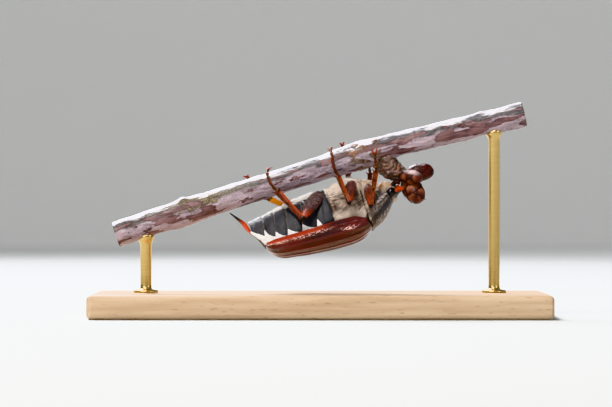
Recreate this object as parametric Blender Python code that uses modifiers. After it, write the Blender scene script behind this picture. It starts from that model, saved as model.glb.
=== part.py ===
"""A cockchafer (may beetle) hanging back down under a cut length of cherry twig, on a plain display stand.

The beetle is drawn in its own frame, in millimetres: +X towards the head, +Y to its left, +Z out of its back.
place() then turns it over, tilts it along the twig and hangs it below. World axes: +X to the right of the
side view, +Y away from the viewer, +Z up. The origin is the middle of the stand's underside. Objects are in
metres.
"""

import math

import bmesh
import bpy
import numpy as np
from mathutils import Matrix, Vector

MM = 0.001  # metres in a millimetre
GAP = 0.3  # air between two solids that touch
AROUND = 28  # points round a section of the body
SHARPEST = 1.6  # most that a cutter's corner moves out, in gaps

# Lines of the body in its own frame, as (x, value) pairs in millimetres, from the rear forwards
BACK_LINE = (
    (-9.2, 1.7), (-8.3, 2.75), (-7.4, 3.4), (-4.3, 4.15), (-1.3, 4.5), (3.0, 4.75), (7.1, 4.4), (9.1, 3.5),
)
EDGE_LINE = ((-9.2, 0.55), (-7.5, 0.6), (-2.4, 0.55), (4.7, 0.4), (7.0, 0.6), (9.0, 1.3))
CASE_HALF_WIDTH = ((-9.4, 3.9), (-8.2, 5.0), (-6.2, 5.9), (-3.0, 6.3), (2.0, 6.2), (6.5, 5.8), (9.0, 5.0))
BELLY_LINE = (
    (-10.9, -3.4), (-8.0, -3.8), (-5.8, -4.15), (-1.7, -4.8),
    (2.7, -5.15), (5.9, -5.6), (7.4, -5.85), (9.3, -5.5),
)
ROUNDNESS, BELLY_ROUNDNESS = 0.88, 1.0  # powers on the sine and cosine of a section: under 1 is squarer

# Wing cases
CASE_THICKNESS = 0.6
CASE_FRONT = 9.0
CASE_REAR, CASE_REAR_AT = -8.85, 0.72  # its rearmost point, and the share of the arc where it lies
CASE_REAR_BEND_IN, CASE_REAR_BEND_OUT, CASE_SHOULDER_BEND = 1.6, 5.0, 2.2  # how fast each end curves away
CASE_SHOULDER_AT = 0.55
CASE_ROWS = 21
CASE_ARC_STEPS = 200  # steps in which the arc across a case is measured
RIB_PLACES = (0.0, 0.2, 0.4, 0.6, 0.78, 1.0)  # share of the arc from the suture to the lower edge
RIB_HEIGHT, RIB_HALF_WIDTH = 0.16, 0.045  # millimetres, and share of the arc
RIB_FADE = 1 / 8  # share of the case's length over which the ribs fade at each end
CORE_INSET = CASE_THICKNESS + GAP + 0.05  # body wall below the outside of the wing cases

# Joint between the hairy breast and the abdomen, and the abdomen's six belly plates
JOINT_AT_BELLY, JOINT_LEAN = 2.4, 1.5
BREAST_FRONT, BREAST_STATIONS = 9.0, 8
PLATES, PLATE_STEP = 6, 0.16
PLATE_STEP_SHARE = 0.03  # share of a plate that the slope of its step takes
JOINT_LEAN_ENDS, REAR_LEAN_STARTS = 1 / 3, 4 / 9  # shares of the abdomen's length, from the joint back
REAR_AT_BELLY, REAR_LEAN = -10.5, 2.8
REAR_BOW, REAR_BOW_AT, REAR_BOW_SPREAD = 0.7, 0.33, 0.2  # how far the last rim bends back, and at which height
REAR_SHARE, REAR_BULGE = 0.94, (-0.14, 0.0, 0.06)  # the rear face: its size, and how far it stands out
NECK_FRONT = BREAST_FRONT + GAP

# Stations of the front shield, as (x, z) of its top and bottom, and its half width
SHIELD_TOP = ((NECK_FRONT, 3.4), (10.9, 2.75), (12.3, 1.6), (13.2, 0.5), (13.8, -0.3))
SHIELD_BOTTOM = ((NECK_FRONT, -5.1), (10.0, -5.0), (10.8, -4.7), (11.4, -4.3), (11.9, -3.7))
SHIELD_HALF_WIDTH = (5.15, 5.35, 4.8, 3.9, 3.0)
SHIELD_WIDEST = 0.58  # share of its height, from below
SHIELD_ROUNDNESS_BELOW = 2.1  # of the narrow underside that the front legs lie along
SHIELD_STATIONS = 9
SHIELD_LIP_SHARE, SHIELD_LIP = 0.9, (0.25, 0.0, -0.1)  # its rounded front edge

# Stations of the head, from inside the shield to the lip
HEAD_TOP = ((12.3, -0.5), (13.3, -0.3), (14.3, -0.55), (14.95, -1.15), (15.4, -1.4), (15.65, -1.75))
HEAD_BOTTOM = ((11.5, -2.9), (12.2, -3.25), (13.1, -3.35), (14.0, -3.1), (14.8, -2.75), (15.25, -2.35))
HEAD_HALF_WIDTH = (2.1, 2.35, 2.35, 2.2, 2.0, 1.75)
HEAD_WIDEST = 0.55
MOUTH_AT, MOUTH_SIZE = (15.3, 0.0, -2.15), (1.3, 3.0, 0.2)  # slot under the lip
EYE_AT, EYE_RADIUS = (13.7, 2.25, -1.7), 0.85
EYE_SEGMENTS, EYE_RINGS = 14, 9

# Feelers: a bent stalk and a club of leaves, on each side of the head
FEELER_PATH = ((14.5, 1.35, -2.1), (14.95, 2.2, -2.4), (15.0, 3.0, -2.25), (14.85, 3.6, -2.0))
FEELER_RADIUS, FEELER_STATIONS = 0.28, 7
STALK_AROUND = 8  # points round a feeler's stalk or a palp
CLUB_LEAVES, LEAF_LENGTH, LEAF_HALF_WIDTH, LEAF_THICKNESS = 6, 1.95, 0.46, 0.4
CLUB_DIRECTION, CLUB_ROOT_DEPTH = (0.1, 1.0, 0.15), 0.25
CLUB_SPREAD, CLUB_ROOTS_APART = math.radians(54), 0.15  # angle in all, and millimetres from leaf to leaf
LEAF_AROUND = 8
LEAF_OUTLINE = ((0.0, 0.45), (0.25, 0.85), (0.6, 1.0), (0.88, 0.75), (1.0, 0.3))  # share of length, of width
PALP_PATH = ((14.1, 0.8, -2.7), (14.5, 1.3, -3.2), (15.0, 1.6, -3.15), (15.5, 1.55, -2.7))
PALP_RADIUS, PALP_GIRTH = 0.26, (1.0, 1.0, 0.9, 1.0, 1.1, 0.6)

# Little plate between the roots of the wing cases
SCUTELLUM_LENGTH, SCUTELLUM_HALF_WIDTH, SCUTELLUM_THICKNESS = 2.5, 1.35, 0.7
SCUTELLUM_AROUND = 12
SCUTELLUM_OUTLINE = ((0.0, 0.85), (0.12, 1.0), (0.4, 0.95), (0.7, 0.72), (0.92, 0.38), (1.0, 0.15))

# Last plate of the back and its spike: (x, z) along its middle, half width and half thickness
TAIL_PATH = ((-8.75, 1.5), (-9.75, -0.6), (-10.85, -2.0), (-11.4, -3.45), (-12.3, -4.75), (-13.08, -5.8))
TAIL_HALF_WIDTH = (2.7, 3.0, 2.3, 1.0, 0.5, 0.26)
TAIL_HALF_THICKNESS = (0.34, 0.36, 0.42, 0.5, 0.34, 0.16)
TAIL_ARCH = 0.1  # how far its sides bend forward, as a share of its half width
TAIL_STATIONS, TAIL_AROUND = 12, 16

# Pose of the beetle under the twig
PITCH = math.radians(16)
BODY_AT = (-0.86, 0.0, 15.34)

# Twig: its axis rises to the right and bends a little where the short spur leaves it
TWIG_FROM, TWIG_TO = -34.0, 34.0
TWIG_HEIGHT = 24.72  # of the axis at x = 0
TWIG_SLOPE, TWIG_SLOPE_BEYOND = math.tan(math.radians(17.9)), math.tan(math.radians(13.4))
TWIG_BEND_AT, TWIG_BEND_EASE = 11.5, 1.5
TWIG_RADIUS, TWIG_TAPER = 2.0, 0.0035  # radius at x = 0, and what it loses in each millimetre to the right
TWIG_SWELLINGS = ((-22.3, 0.28, 2.2), (6.5, 0.35, 4.5), (33.0, 0.25, 3.0))  # (x, extra radius, half length)
TWIG_STATIONS = 34
TWIG_AROUND = 14  # points round the twig, its spur and its buds

# Spur of the twig and its three buds: points in the world, (x, y, z), and radii
SPUR_PATH = ((9.5, 0.1, 28.4), (10.3, 0.3, 26.5), (11.3, 0.5, 25.2), (12.3, 0.65, 24.4), (13.3, 0.7, 24.0))
SPUR_RADII = (1.5, 1.85, 1.75, 1.55, 1.25)
SPUR_RINGS, SPUR_RING_HEIGHT = 5, 0.14
SPUR_GROOVE = 0.3  # depth between two rings, as a share of a ring's height
BUDS = (
    # name, root, tip, greatest radius
    ("bud_upper", (14.5, 0.9, 23.7), (19.0, 1.3, 24.5), 1.42),
    ("bud_middle", (13.5, -0.4, 23.4), (16.9, -2.7, 23.1), 1.15),
    ("bud_lower", (14.4, 1.2, 22.7), (16.7, -2.1, 19.3), 1.62),
)
BUD_OUTLINE = (
    # share of length, share of the greatest radius
    (0.0, 0.5), (0.08, 0.75), (0.22, 0.95), (0.42, 1.0), (0.62, 0.92), (0.8, 0.7), (0.93, 0.38), (1.0, 0.1),
)

# Display stand
BASE_SIZE, BASE_EDGE, BASE_EDGE_STEPS = (76.0, 34.0, 4.0), 0.8, 3
ROD_RADIUS, ROD_AROUND = 1.0, 16
ROD_PLACES = {"stand_rod_left": -29.0, "stand_rod_right": 29.0}

# Legs. Hip and knee are in the beetle's frame, for its left side. The ankle and the foot's path are places on
# the twig: x along it, turn round it in degrees from its underside towards that leg's side, and height over
# its bark. A thigh has its greatest width and depth, and a shin its radius at the thin and at the thick end.
LEGS = {
    "front_left": {
        "side": 1, "hip": (10.3, 1.5, -3.7), "knee": (9.75, 6.6, -0.5),
        "thigh": (0.8, 0.55), "shin": (0.33, 0.42), "teeth": 3,
        "ankle": (8.35, 43, 2.1),
        "foot": ((8.6, 52, 1.2), (8.8, 66, 0.72), (9.0, 82, 0.62)),
        "claws": (9.05, 96, 0.75),
    },
    "front_right": {
        "side": -1, "hip": (10.3, 1.5, -3.7), "knee": (9.9, 6.5, -0.8),
        "thigh": (0.8, 0.55), "shin": (0.33, 0.42), "teeth": 3,
        "ankle": (7.4, 42, 2.1),
        "foot": ((7.6, 50, 1.2), (7.9, 66, 0.7), (8.3, 84, 0.62)),
        "claws": (8.6, 98, 0.75),
    },
    "middle_left": {
        "side": 1, "hip": (7.7, 1.6, -5.1), "knee": (6.45, 6.8, -2.0),
        "thigh": (0.95, 0.62), "shin": (0.33, 0.42), "teeth": 1,
        "ankle": (2.35, 46, 0.95),
        "foot": ((2.1, 84, 0.66), (2.4, 124, 0.62), (2.5, 158, 0.64)),
        "claws": (2.5, 182, 0.8),
    },
    "middle_right": {
        "side": -1, "hip": (7.7, 1.6, -5.1), "knee": (6.8, 6.6, -2.4),
        "thigh": (0.95, 0.62), "shin": (0.33, 0.42), "teeth": 1,
        "ankle": (4.0, 46, 0.95),
        "foot": ((4.1, 86, 0.66), (4.4, 126, 0.62), (4.55, 156, 0.7)),
        "claws": (4.6, 176, 1.1),
    },
    "hind_left": {
        "side": 1, "hip": (1.9, 2.5, -4.7), "knee": (-1.6, 6.9, -1.6),
        "thigh": (1.25, 0.72), "shin": (0.4, 0.55), "teeth": 1,
        "ankle": (-7.6, 62, 0.95),
        "foot": ((-8.15, 94, 0.66), (-8.25, 130, 0.62), (-7.95, 160, 0.64)),
        "claws": (-7.4, 182, 0.8),
    },
    "hind_right": {
        "side": -1, "hip": (1.9, 2.5, -4.7), "knee": (-2.3, 6.6, -3.0),
        "thigh": (1.25, 0.72), "shin": (0.4, 0.55), "teeth": 1,
        "ankle": (-9.2, 44, 0.95),
        "foot": ((-10.3, 84, 0.66), (-11.0, 124, 0.62), (-11.4, 158, 0.64)),
        "claws": (-11.65, 180, 0.9),
    },
}
LEG_PLANE = (1.0, 0.0, 0.29)  # the broad side of a leg's parts lies along this
LEG_ROOT_DEPTH = 0.24  # least half depth of a thigh
THIGH_OUTLINE = (
    # share of the way from hip to knee, share of the greatest girth
    (-0.06, 0.35), (0.0, 0.7), (0.16, 1.0), (0.38, 1.0), (0.6, 0.86), (0.78, 0.66), (0.9, 0.5), (0.95, 0.25),
)
THIGH_AROUND, SHIN_AROUND, SHIN_FLATNESS = 12, 10, 0.85
SHIN_KNOB = ((-0.04, 0.6), (0.03, 1.25), (0.12, 1.1))  # share of the way to the ankle, of the thin radius
SHIN_OUTLINE = ((0.3, 0.2), (0.7, 0.75), (0.93, 1.0), (1.0, 0.8))  # share of the way, of the thickening
TOOTH_LAST_AT, TOOTH_SPACING = 0.9, 0.24  # shares of the shin's length
TOOTH_HEIGHT, TOOTH_HEIGHT_LOST, TOOTH_LEAN = 0.45, 0.08, 0.35
TOOTH_RADII, SPINE_RADII = (0.3, 0.22, 0.06), (0.22, 0.17, 0.05)
SPINE_DEPTH, SPINE_REACH, SPINE_SPLAY = 0.45, 0.4, 0.5
FOOT_JOINTS, FOOT_RADIUS, FOOT_AROUND = 5, 0.25, 8
FOOT_BEAD = (0.0, 0.042, 0.07)  # extra radius at the start, middle and end of a joint
CLAW_RADIUS, CLAW_LENGTH, CLAW_OPENING = 0.17, 0.95, 0.55
CLAW_STEPS = (
    # share of length, share of opening, drop towards the bark, share of radius
    (0.35, 0.45, 0.0, 1.0), (0.72, 0.8, 0.02, 0.8), (1.0, 1.0, 0.2, 0.3),
)
HORN_AROUND = 6  # points round a tooth, spine or claw
SHARP_ANGLE = math.radians(40)  # edges steeper than this are shaded sharp

COLOURS = {
    # material: (red, green, blue), roughness, metallic
    "wing_case": ((0.26, 0.045, 0.018), 0.32, 0.0),
    "dark_plate": ((0.035, 0.035, 0.04), 0.45, 0.0),
    "breast_coat": ((0.55, 0.43, 0.28), 0.9, 0.0),
    "leg": ((0.42, 0.09, 0.02), 0.35, 0.0),
    "eye": ((0.01, 0.01, 0.01), 0.15, 0.0),
    "bark": ((0.35, 0.26, 0.27), 0.75, 0.0),
    "bud": ((0.2, 0.045, 0.03), 0.4, 0.0),
    "stand_wood": ((0.6, 0.45, 0.3), 0.5, 0.0),
    "stand_metal": ((0.75, 0.7, 0.6), 0.3, 1.0),
}

# Scene, materials and objects


def clear_scene():
    for item in list(bpy.data.objects):
        bpy.data.objects.remove(item, do_unlink=True)


def new_collection(name):
    group = bpy.data.collections.new(name)
    bpy.context.scene.collection.children.link(group)
    return group


def material(name):
    """The named Principled material, made when it is first asked for."""
    found = bpy.data.materials.get(name)
    if found:
        return found
    colour, roughness, metallic = COLOURS[name]
    made = bpy.data.materials.new(name)
    made.use_nodes = True
    shader = made.node_tree.nodes["Principled BSDF"]
    shader.inputs["Base Color"].default_value = (*colour, 1.0)
    shader.inputs["Roughness"].default_value = roughness
    shader.inputs["Metallic"].default_value = metallic
    return made


def object_from(name, mesh, finish, matrix=None):
    """Links a mesh drawn in millimetres as an object in metres, with its material and its place."""
    mesh.transform(Matrix.Scale(MM, 4))
    mesh.shade_smooth()
    mesh.set_sharp_from_angle(angle=SHARP_ANGLE)
    item = bpy.data.objects.new(name, mesh)
    mesh.materials.append(material(finish))
    if matrix:
        item.matrix_world = matrix
    PARTS.objects.link(item)
    return item


def place():
    """The matrix that turns the beetle over, tilts it and hangs it under the twig."""
    forward = Vector((math.cos(PITCH), 0, math.sin(PITCH)))
    left = Vector((0, -1, 0))
    back = forward.cross(left)
    turned = Matrix((forward, left, back)).transposed().to_4x4()
    return Matrix.Translation(Vector(BODY_AT) * MM) @ turned


def to_world(point):
    """A point of the beetle's frame in the world, both in millimetres."""
    return np.array(place() @ (Vector(point) * MM)) / MM


# Curves and sections


def along(line, x):
    """The smooth line through the (x, value) pairs, read at x."""
    knots, values = np.array(line, float).T
    slopes = np.gradient(values, knots)
    x = np.clip(np.asarray(x, float), knots[0], knots[-1])
    i = np.clip(np.searchsorted(knots, x) - 1, 0, len(knots) - 2)
    step = knots[i + 1] - knots[i]
    t = (x - knots[i]) / step
    rise = values[i + 1] - values[i]
    start, end = slopes[i] * step, slopes[i + 1] * step
    return values[i] + t * start + t * t * (3 * rise - 2 * start - end) + t**3 * (start + end - 2 * rise)


def smooth_path(points, count):
    """count points, evenly spread in number, on a smooth curve through the given ones."""
    points = np.array(points, float)
    places = np.concatenate([[0], np.cumsum(np.linalg.norm(np.diff(points, axis=0), axis=1))])
    wanted = np.linspace(0, places[-1], count)
    return np.stack([along(list(zip(places, points[:, k])), wanted) for k in range(points.shape[1])], axis=1)


def signed_power(value, power):
    return np.sign(value) * np.abs(value) ** power


def oval(top, bottom, half_width, widest=0.5, lower_power=BELLY_ROUNDNESS):
    """A section of the body in the plane through two (x, z) points and the Y axis. widest is the share of the
    height, from the bottom, where it is broadest."""
    turn = np.linspace(0, 2 * math.pi, AROUND, endpoint=False)
    top, bottom = np.array(top, float), np.array(bottom, float)
    level = bottom + widest * (top - bottom)
    up = np.cos(turn)
    power = np.where(up >= 0, ROUNDNESS, lower_power)
    rise = signed_power(up, power)[:, None]
    middle = level + np.where(rise >= 0, (top - level) * rise, (level - bottom) * rise)
    y = half_width * signed_power(np.sin(turn), power)
    return np.stack([middle[:, 0], y, middle[:, 1]], axis=1)


def limb_sections(path, wide, deep, wide_axis, count):
    """Oval sections square to a path. wide lies along wide_axis as nearly as it can, and deep across it."""
    path = np.array(path, float)
    ahead = np.gradient(path, axis=0)
    ahead /= np.linalg.norm(ahead, axis=1)[:, None]
    across = np.array(wide_axis, float)[None, :] - (ahead @ np.array(wide_axis, float))[:, None] * ahead
    across /= np.linalg.norm(across, axis=1)[:, None]
    third = np.cross(ahead, across)
    turn = np.linspace(0, 2 * math.pi, count, endpoint=False)
    return [
        p + w * np.cos(turn)[:, None] * a + d * np.sin(turn)[:, None] * b
        for p, w, d, a, b in zip(path, wide, deep, across, third)
    ]


# Meshes


def loft(name, sections):
    """A closed mesh through sections that have the same number of points, with a flat cap on each end."""
    work = bmesh.new()
    rings = [[work.verts.new(point) for point in section] for section in sections]
    for one, two in zip(rings, rings[1:]):
        for i in range(len(one)):
            j = (i + 1) % len(one)
            work.faces.new((one[i], one[j], two[j], two[i]))
    work.faces.new(rings[0][::-1])
    work.faces.new(rings[-1])
    bmesh.ops.recalc_face_normals(work, faces=work.faces)
    return to_mesh(name, work)


def sheet(name, rows):
    """An open mesh over a grid of points."""
    work = bmesh.new()
    grid = [[work.verts.new(point) for point in row] for row in rows]
    for one, two in zip(grid, grid[1:]):
        for i in range(len(one) - 1):
            work.faces.new((one[i], one[i + 1], two[i + 1], two[i]))
    return to_mesh(name, work)


def to_mesh(name, work):
    mesh = bpy.data.meshes.new(name)
    work.to_mesh(mesh)
    work.free()
    return mesh


def horn(name, path, radii, sides, finish, matrix=None):
    """A tapered, pointed tube: a curve with a radius at each point, made a mesh with welded caps."""
    line = bpy.data.curves.new(name, "CURVE")
    line.dimensions = "3D"
    line.bevel_depth = MM
    line.bevel_resolution = max(0, sides // 2 - 2)
    line.use_fill_caps = True
    spline = line.splines.new("POLY")
    spline.points.add(len(path) - 1)
    for knot, point, radius in zip(spline.points, path, radii):
        knot.co = (*(Vector(point) * MM), 1.0)
        knot.radius = radius
    curve = bpy.data.objects.new(name + "_curve", line)
    PARTS.objects.link(curve)
    graph = bpy.context.evaluated_depsgraph_get()
    mesh = bpy.data.meshes.new_from_object(curve.evaluated_get(graph))
    bpy.data.objects.remove(curve, do_unlink=True)
    work = bmesh.new()
    work.from_mesh(mesh)
    bmesh.ops.remove_doubles(work, verts=work.verts, dist=1e-6)
    bmesh.ops.recalc_face_normals(work, faces=work.faces)
    work.to_mesh(mesh)
    work.free()
    mesh.transform(Matrix.Scale(1 / MM, 4))
    mesh.materials.clear()
    return object_from(name, mesh, finish, matrix)


def largest_body(mesh):
    """Leaves only the closed surface that holds the most, so that scraps and sealed hollows go."""
    work = bmesh.new()
    work.from_mesh(mesh)
    left, bodies = set(work.verts), []
    while left:
        body, edge = set(), [left.pop()]
        while edge:
            vert = edge.pop()
            body.add(vert)
            near = {e.other_vert(vert) for e in vert.link_edges} & left
            left -= near
            edge.extend(near)
        bodies.append(body)

    def held(body):
        total = 0.0
        for face in {f for v in body for f in v.link_faces}:
            corners = [v.co for v in face.verts]
            for b, c in zip(corners[1:], corners[2:]):
                total += corners[0].dot(b.cross(c))
        return total

    keep = max(bodies, key=held)
    bmesh.ops.delete(work, geom=[v for v in work.verts if v not in keep], context="VERTS")
    work.to_mesh(mesh)
    work.free()


def apply_modifiers(item):
    graph = bpy.context.evaluated_depsgraph_get()
    graph.update()
    mesh = bpy.data.meshes.new_from_object(item.evaluated_get(graph))
    item.modifiers.clear()
    item.data = mesh


def fuse(item, pieces):
    """Joins closed pieces to a closed object in one Boolean union, and removes the pieces."""
    group = new_collection(item.name + "_pieces")
    for piece in pieces:
        PARTS.objects.unlink(piece)
        group.objects.link(piece)
    join = item.modifiers.new("join", "BOOLEAN")
    join.operation = "UNION"
    join.operand_type = "COLLECTION"
    join.solver = "MANIFOLD"
    join.collection = group
    apply_modifiers(item)
    for piece in pieces:
        bpy.data.objects.remove(piece, do_unlink=True)
    bpy.data.collections.remove(group)
    largest_body(item.data)
    return item


def swollen(item, by=GAP):
    """A cutter: a copy of a closed object, grown evenly outwards."""
    work = bmesh.new()
    work.from_mesh(item.data)
    work.normal_update()
    moves = [v.normal * min(v.calc_shell_factor(), SHARPEST) * by * MM for v in work.verts]
    for vert, move in zip(work.verts, moves):
        vert.co += move
    cutter = bpy.data.objects.new(item.name + "_cutter", to_mesh(item.name + "_cutter", work))
    cutter.matrix_world = item.matrix_world
    cutter.hide_render = True
    cutter.display_type = "WIRE"
    CUTTERS.objects.link(cutter)
    return cutter


def cut_clear(cuts):
    """Cuts each named object clear of its neighbours, grown by the gap as they were before any cut."""
    parts = {item.name: item for item in PARTS.objects}
    wanted = sorted({name for names in cuts.values() for name in names})
    cutters = {name: swollen(parts[name]) for name in wanted}
    bpy.context.view_layer.update()
    for name, neighbours in cuts.items():
        for neighbour in neighbours:
            cut = parts[name].modifiers.new("clear_of_" + neighbour, "BOOLEAN")
            cut.operation = "DIFFERENCE"
            cut.object = cutters[neighbour]
            cut.solver = "MANIFOLD"
        apply_modifiers(parts[name])
        largest_body(parts[name].data)


# The body


def core_top(x):
    """Height of the body wall under the wing cases."""
    return along(BACK_LINE, x) - CORE_INSET


def core_section(at_belly, lean, swell=0.0):
    """A section of the breast or abdomen. lean is how far its top is ahead of its bottom."""
    at_back = at_belly + lean
    top, bottom = core_top(at_back), along(BELLY_LINE, at_belly)
    edge = along(EDGE_LINE, (at_back + at_belly) / 2)
    half_width = along(CASE_HALF_WIDTH, (at_back + at_belly) / 2) - CORE_INSET
    widest = (edge - bottom) / (top - bottom)
    return oval((at_back, top), (at_belly, bottom - swell), half_width + swell, widest)


def shrunk(section, share, move=(0, 0, 0)):
    """A section drawn in towards its middle and moved, to round off an end."""
    middle = section.mean(axis=0)
    return middle + (section - middle) * share + np.array(move, float)


def breast():
    """The hairy middle of the body, which carries the middle and hind legs."""
    sections = []
    for share in np.linspace(0, 1, BREAST_STATIONS):
        at_belly = JOINT_AT_BELLY + GAP + share * (BREAST_FRONT - JOINT_AT_BELLY - GAP)
        sections.append(core_section(at_belly, JOINT_LEAN * (1 - share)))
    return object_from("breast", loft("breast", sections), "breast_coat", place())


def abdomen():
    """Six belly plates, each stepped over the next, and the slanting rear face that the tail covers."""
    length = JOINT_AT_BELLY - REAR_AT_BELLY
    sections = []
    for plate in range(PLATES):
        for share, swell in ((PLATE_STEP_SHARE, -PLATE_STEP), (1 - PLATE_STEP_SHARE, 0.0)):
            back = (plate + share) / PLATES
            front_lean = JOINT_LEAN * max(0.0, 1 - back / JOINT_LEAN_ENDS)
            rear_lean = REAR_LEAN * max(0.0, (back - REAR_LEAN_STARTS) / (1 - REAR_LEAN_STARTS))
            sections.append(core_section(JOINT_AT_BELLY - back * length, front_lean + rear_lean, swell))
    rim = sections[-1]
    height = (rim[:, 2] - rim[:, 2].min()) / np.ptp(rim[:, 2])
    bowed = rim[:, 0] - REAR_BOW * np.exp(-(((height - REAR_BOW_AT) / REAR_BOW_SPREAD) ** 2))
    rim[:, 1] *= (along(CASE_HALF_WIDTH, bowed) - CORE_INSET) / (along(CASE_HALF_WIDTH, rim[:, 0]) - CORE_INSET)
    rim[:, 0] = bowed
    sections.append(shrunk(rim, REAR_SHARE, REAR_BULGE))
    return object_from("abdomen", loft("abdomen", sections), "dark_plate", place())


def front_shield():
    """The first ring of the body: the domed shield on top, and the front legs' seat below."""
    tops = smooth_path(SHIELD_TOP, SHIELD_STATIONS)
    bottoms = smooth_path(SHIELD_BOTTOM, SHIELD_STATIONS)
    shares = np.linspace(0, 1, SHIELD_STATIONS)
    widths = np.interp(shares, np.linspace(0, 1, len(SHIELD_HALF_WIDTH)), SHIELD_HALF_WIDTH)
    sections = [oval(t, b, w, SHIELD_WIDEST, SHIELD_ROUNDNESS_BELOW) for t, b, w in zip(tops, bottoms, widths)]
    sections.append(shrunk(sections[-1], SHIELD_LIP_SHARE, SHIELD_LIP))
    return object_from("front_shield", loft("front_shield", sections), "dark_plate", place())


def head():
    """The head, with its raised front rim and the line of the mouth below it."""
    sections = [oval(t, b, w, HEAD_WIDEST) for t, b, w in zip(HEAD_TOP, HEAD_BOTTOM, HEAD_HALF_WIDTH)]
    item = object_from("head", loft("head", sections), "dark_plate", place())
    work = bmesh.new()
    bmesh.ops.create_cube(work, size=1, matrix=Matrix.Translation(MOUTH_AT) @ Matrix.Diagonal((*MOUTH_SIZE, 1)))
    mesh = to_mesh("mouth_cutter", work)
    mesh.transform(Matrix.Scale(MM, 4))
    slot = bpy.data.objects.new("mouth_cutter", mesh)
    slot.matrix_world = place()
    slot.hide_render = True
    slot.display_type = "WIRE"
    CUTTERS.objects.link(slot)
    cut = item.modifiers.new("mouth", "BOOLEAN")
    cut.operation = "DIFFERENCE"
    cut.object = slot
    return item


def eye(side):
    work = bmesh.new()
    bmesh.ops.create_uvsphere(work, u_segments=EYE_SEGMENTS, v_segments=EYE_RINGS, radius=EYE_RADIUS)
    x, y, z = EYE_AT
    bmesh.ops.translate(work, verts=work.verts, vec=(x, side * y, z))
    name = "eye_left" if side > 0 else "eye_right"
    return object_from(name, to_mesh(name, work), "eye", place())


def mirrored(path, side):
    return [(x, side * y, z) for x, y, z in path]


def leaf(name, root, direction, across):
    """One flat leaf of a feeler's club: narrow at its root, round at its end."""
    direction, across = np.array(direction, float), np.array(across, float)
    shares, widths = np.array(LEAF_OUTLINE).T
    path = np.array(root, float) + np.outer(shares * LEAF_LENGTH, direction)
    depths = np.full(len(shares), LEAF_THICKNESS / 2)
    sections = limb_sections(path, LEAF_HALF_WIDTH * widths, depths, across, LEAF_AROUND)
    return object_from(name, loft(name, sections), "leg", place())


def feeler(side):
    """The bent stalk of a feeler. Its club is added once the stalk is cut clear of the head."""
    name = "feeler_left" if side > 0 else "feeler_right"
    path = mirrored(smooth_path(FEELER_PATH, FEELER_STATIONS), side)
    return horn(name, path, [FEELER_RADIUS] * len(path), STALK_AROUND, "leg", place())


def add_club(side):
    """Leaves on the end of a feeler's stalk, open like a fan."""
    stalk = bpy.data.objects["feeler_left" if side > 0 else "feeler_right"]
    middle = Vector(CLUB_DIRECTION).normalized()
    hinge = middle.cross(Vector((1, 0, 0))).normalized()
    root = Vector(FEELER_PATH[-1]) - middle * CLUB_ROOT_DEPTH
    leaves = []
    apart = hinge.cross(middle) * CLUB_ROOTS_APART
    for number in range(CLUB_LEAVES):
        place_in_fan = number - (CLUB_LEAVES - 1) / 2
        turn = place_in_fan / (CLUB_LEAVES - 1) * CLUB_SPREAD
        direction = Matrix.Rotation(turn, 3, hinge) @ middle
        start, ahead, across = mirrored([root + apart * place_in_fan, direction, hinge], side)
        leaves.append(leaf(f"{stalk.name}_leaf_{number}", start, ahead, across))
    fuse(stalk, leaves)


def palp(side):
    name = "palp_left" if side > 0 else "palp_right"
    path = mirrored(smooth_path(PALP_PATH, len(PALP_GIRTH)), side)
    radii = PALP_RADIUS * np.array(PALP_GIRTH)
    return horn(name, path, radii, STALK_AROUND, "leg", place())


def case_grid():
    """Points on the outside of the left wing case: rows from front to rear, columns from the suture out."""
    lines = [(p + way * RIB_HALF_WIDTH, way == 0) for p in RIB_PLACES for way in (-1, 0, 1)]
    arc, is_crest = np.array([line for line in lines if 0 <= line[0] <= 1]).T
    rib = RIB_HEIGHT * is_crest
    turn = np.linspace(0, math.pi / 2, CASE_ARC_STEPS)
    y = along(CASE_HALF_WIDTH, 0) * np.sin(turn) ** ROUNDNESS
    z = (along(BACK_LINE, 0) - along(EDGE_LINE, 0)) * np.cos(turn) ** ROUNDNESS
    length = np.concatenate([[0], np.cumsum(np.hypot(np.diff(y), np.diff(z)))])
    turns = np.interp(arc, length / length[-1], turn)
    shares = np.linspace(0, 1, CASE_ROWS)
    bend = np.where(arc < CASE_REAR_AT, CASE_REAR_BEND_IN, CASE_REAR_BEND_OUT)
    rear = CASE_REAR + bend * (arc - CASE_REAR_AT) ** 2
    front = CASE_FRONT - CASE_SHOULDER_BEND * np.maximum(0, arc - CASE_SHOULDER_AT) ** 2
    x = front[None, :] + shares[:, None] * (rear - front)[None, :]
    half_width, edge, back = along(CASE_HALF_WIDTH, x), along(EDGE_LINE, x), along(BACK_LINE, x)
    y = GAP / 2 + (half_width - GAP / 2) * np.sin(turns) ** ROUNDNESS
    z = edge + (back - edge) * np.cos(turns) ** ROUNDNESS
    grid = np.stack([x, y, z], axis=2)
    normal = np.cross(np.gradient(grid, axis=1), np.gradient(grid, axis=0))
    normal /= np.linalg.norm(normal, axis=2)[:, :, None]
    fade = np.clip(np.minimum(shares, 1 - shares) / RIB_FADE, 0, 1)
    return grid + normal * (fade[:, None] * rib[None, :])[:, :, None]


def wing_case(side):
    """A ribbed shell: an open sheet given its thickness inwards."""
    name = "wing_case_left" if side > 0 else "wing_case_right"
    grid = case_grid() * np.array((1, side, 1))
    rows = grid if side > 0 else grid[:, ::-1]
    item = object_from(name, sheet(name, rows), "wing_case", place())
    shell = item.modifiers.new("thickness", "SOLIDIFY")
    shell.thickness = CASE_THICKNESS * MM
    shell.offset = -1
    shell.use_even_offset = True
    apply_modifiers(item)
    for vert in item.data.vertices:
        vert.co.y = side * max(side * vert.co.y, GAP / 2 * MM)
    return item


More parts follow.
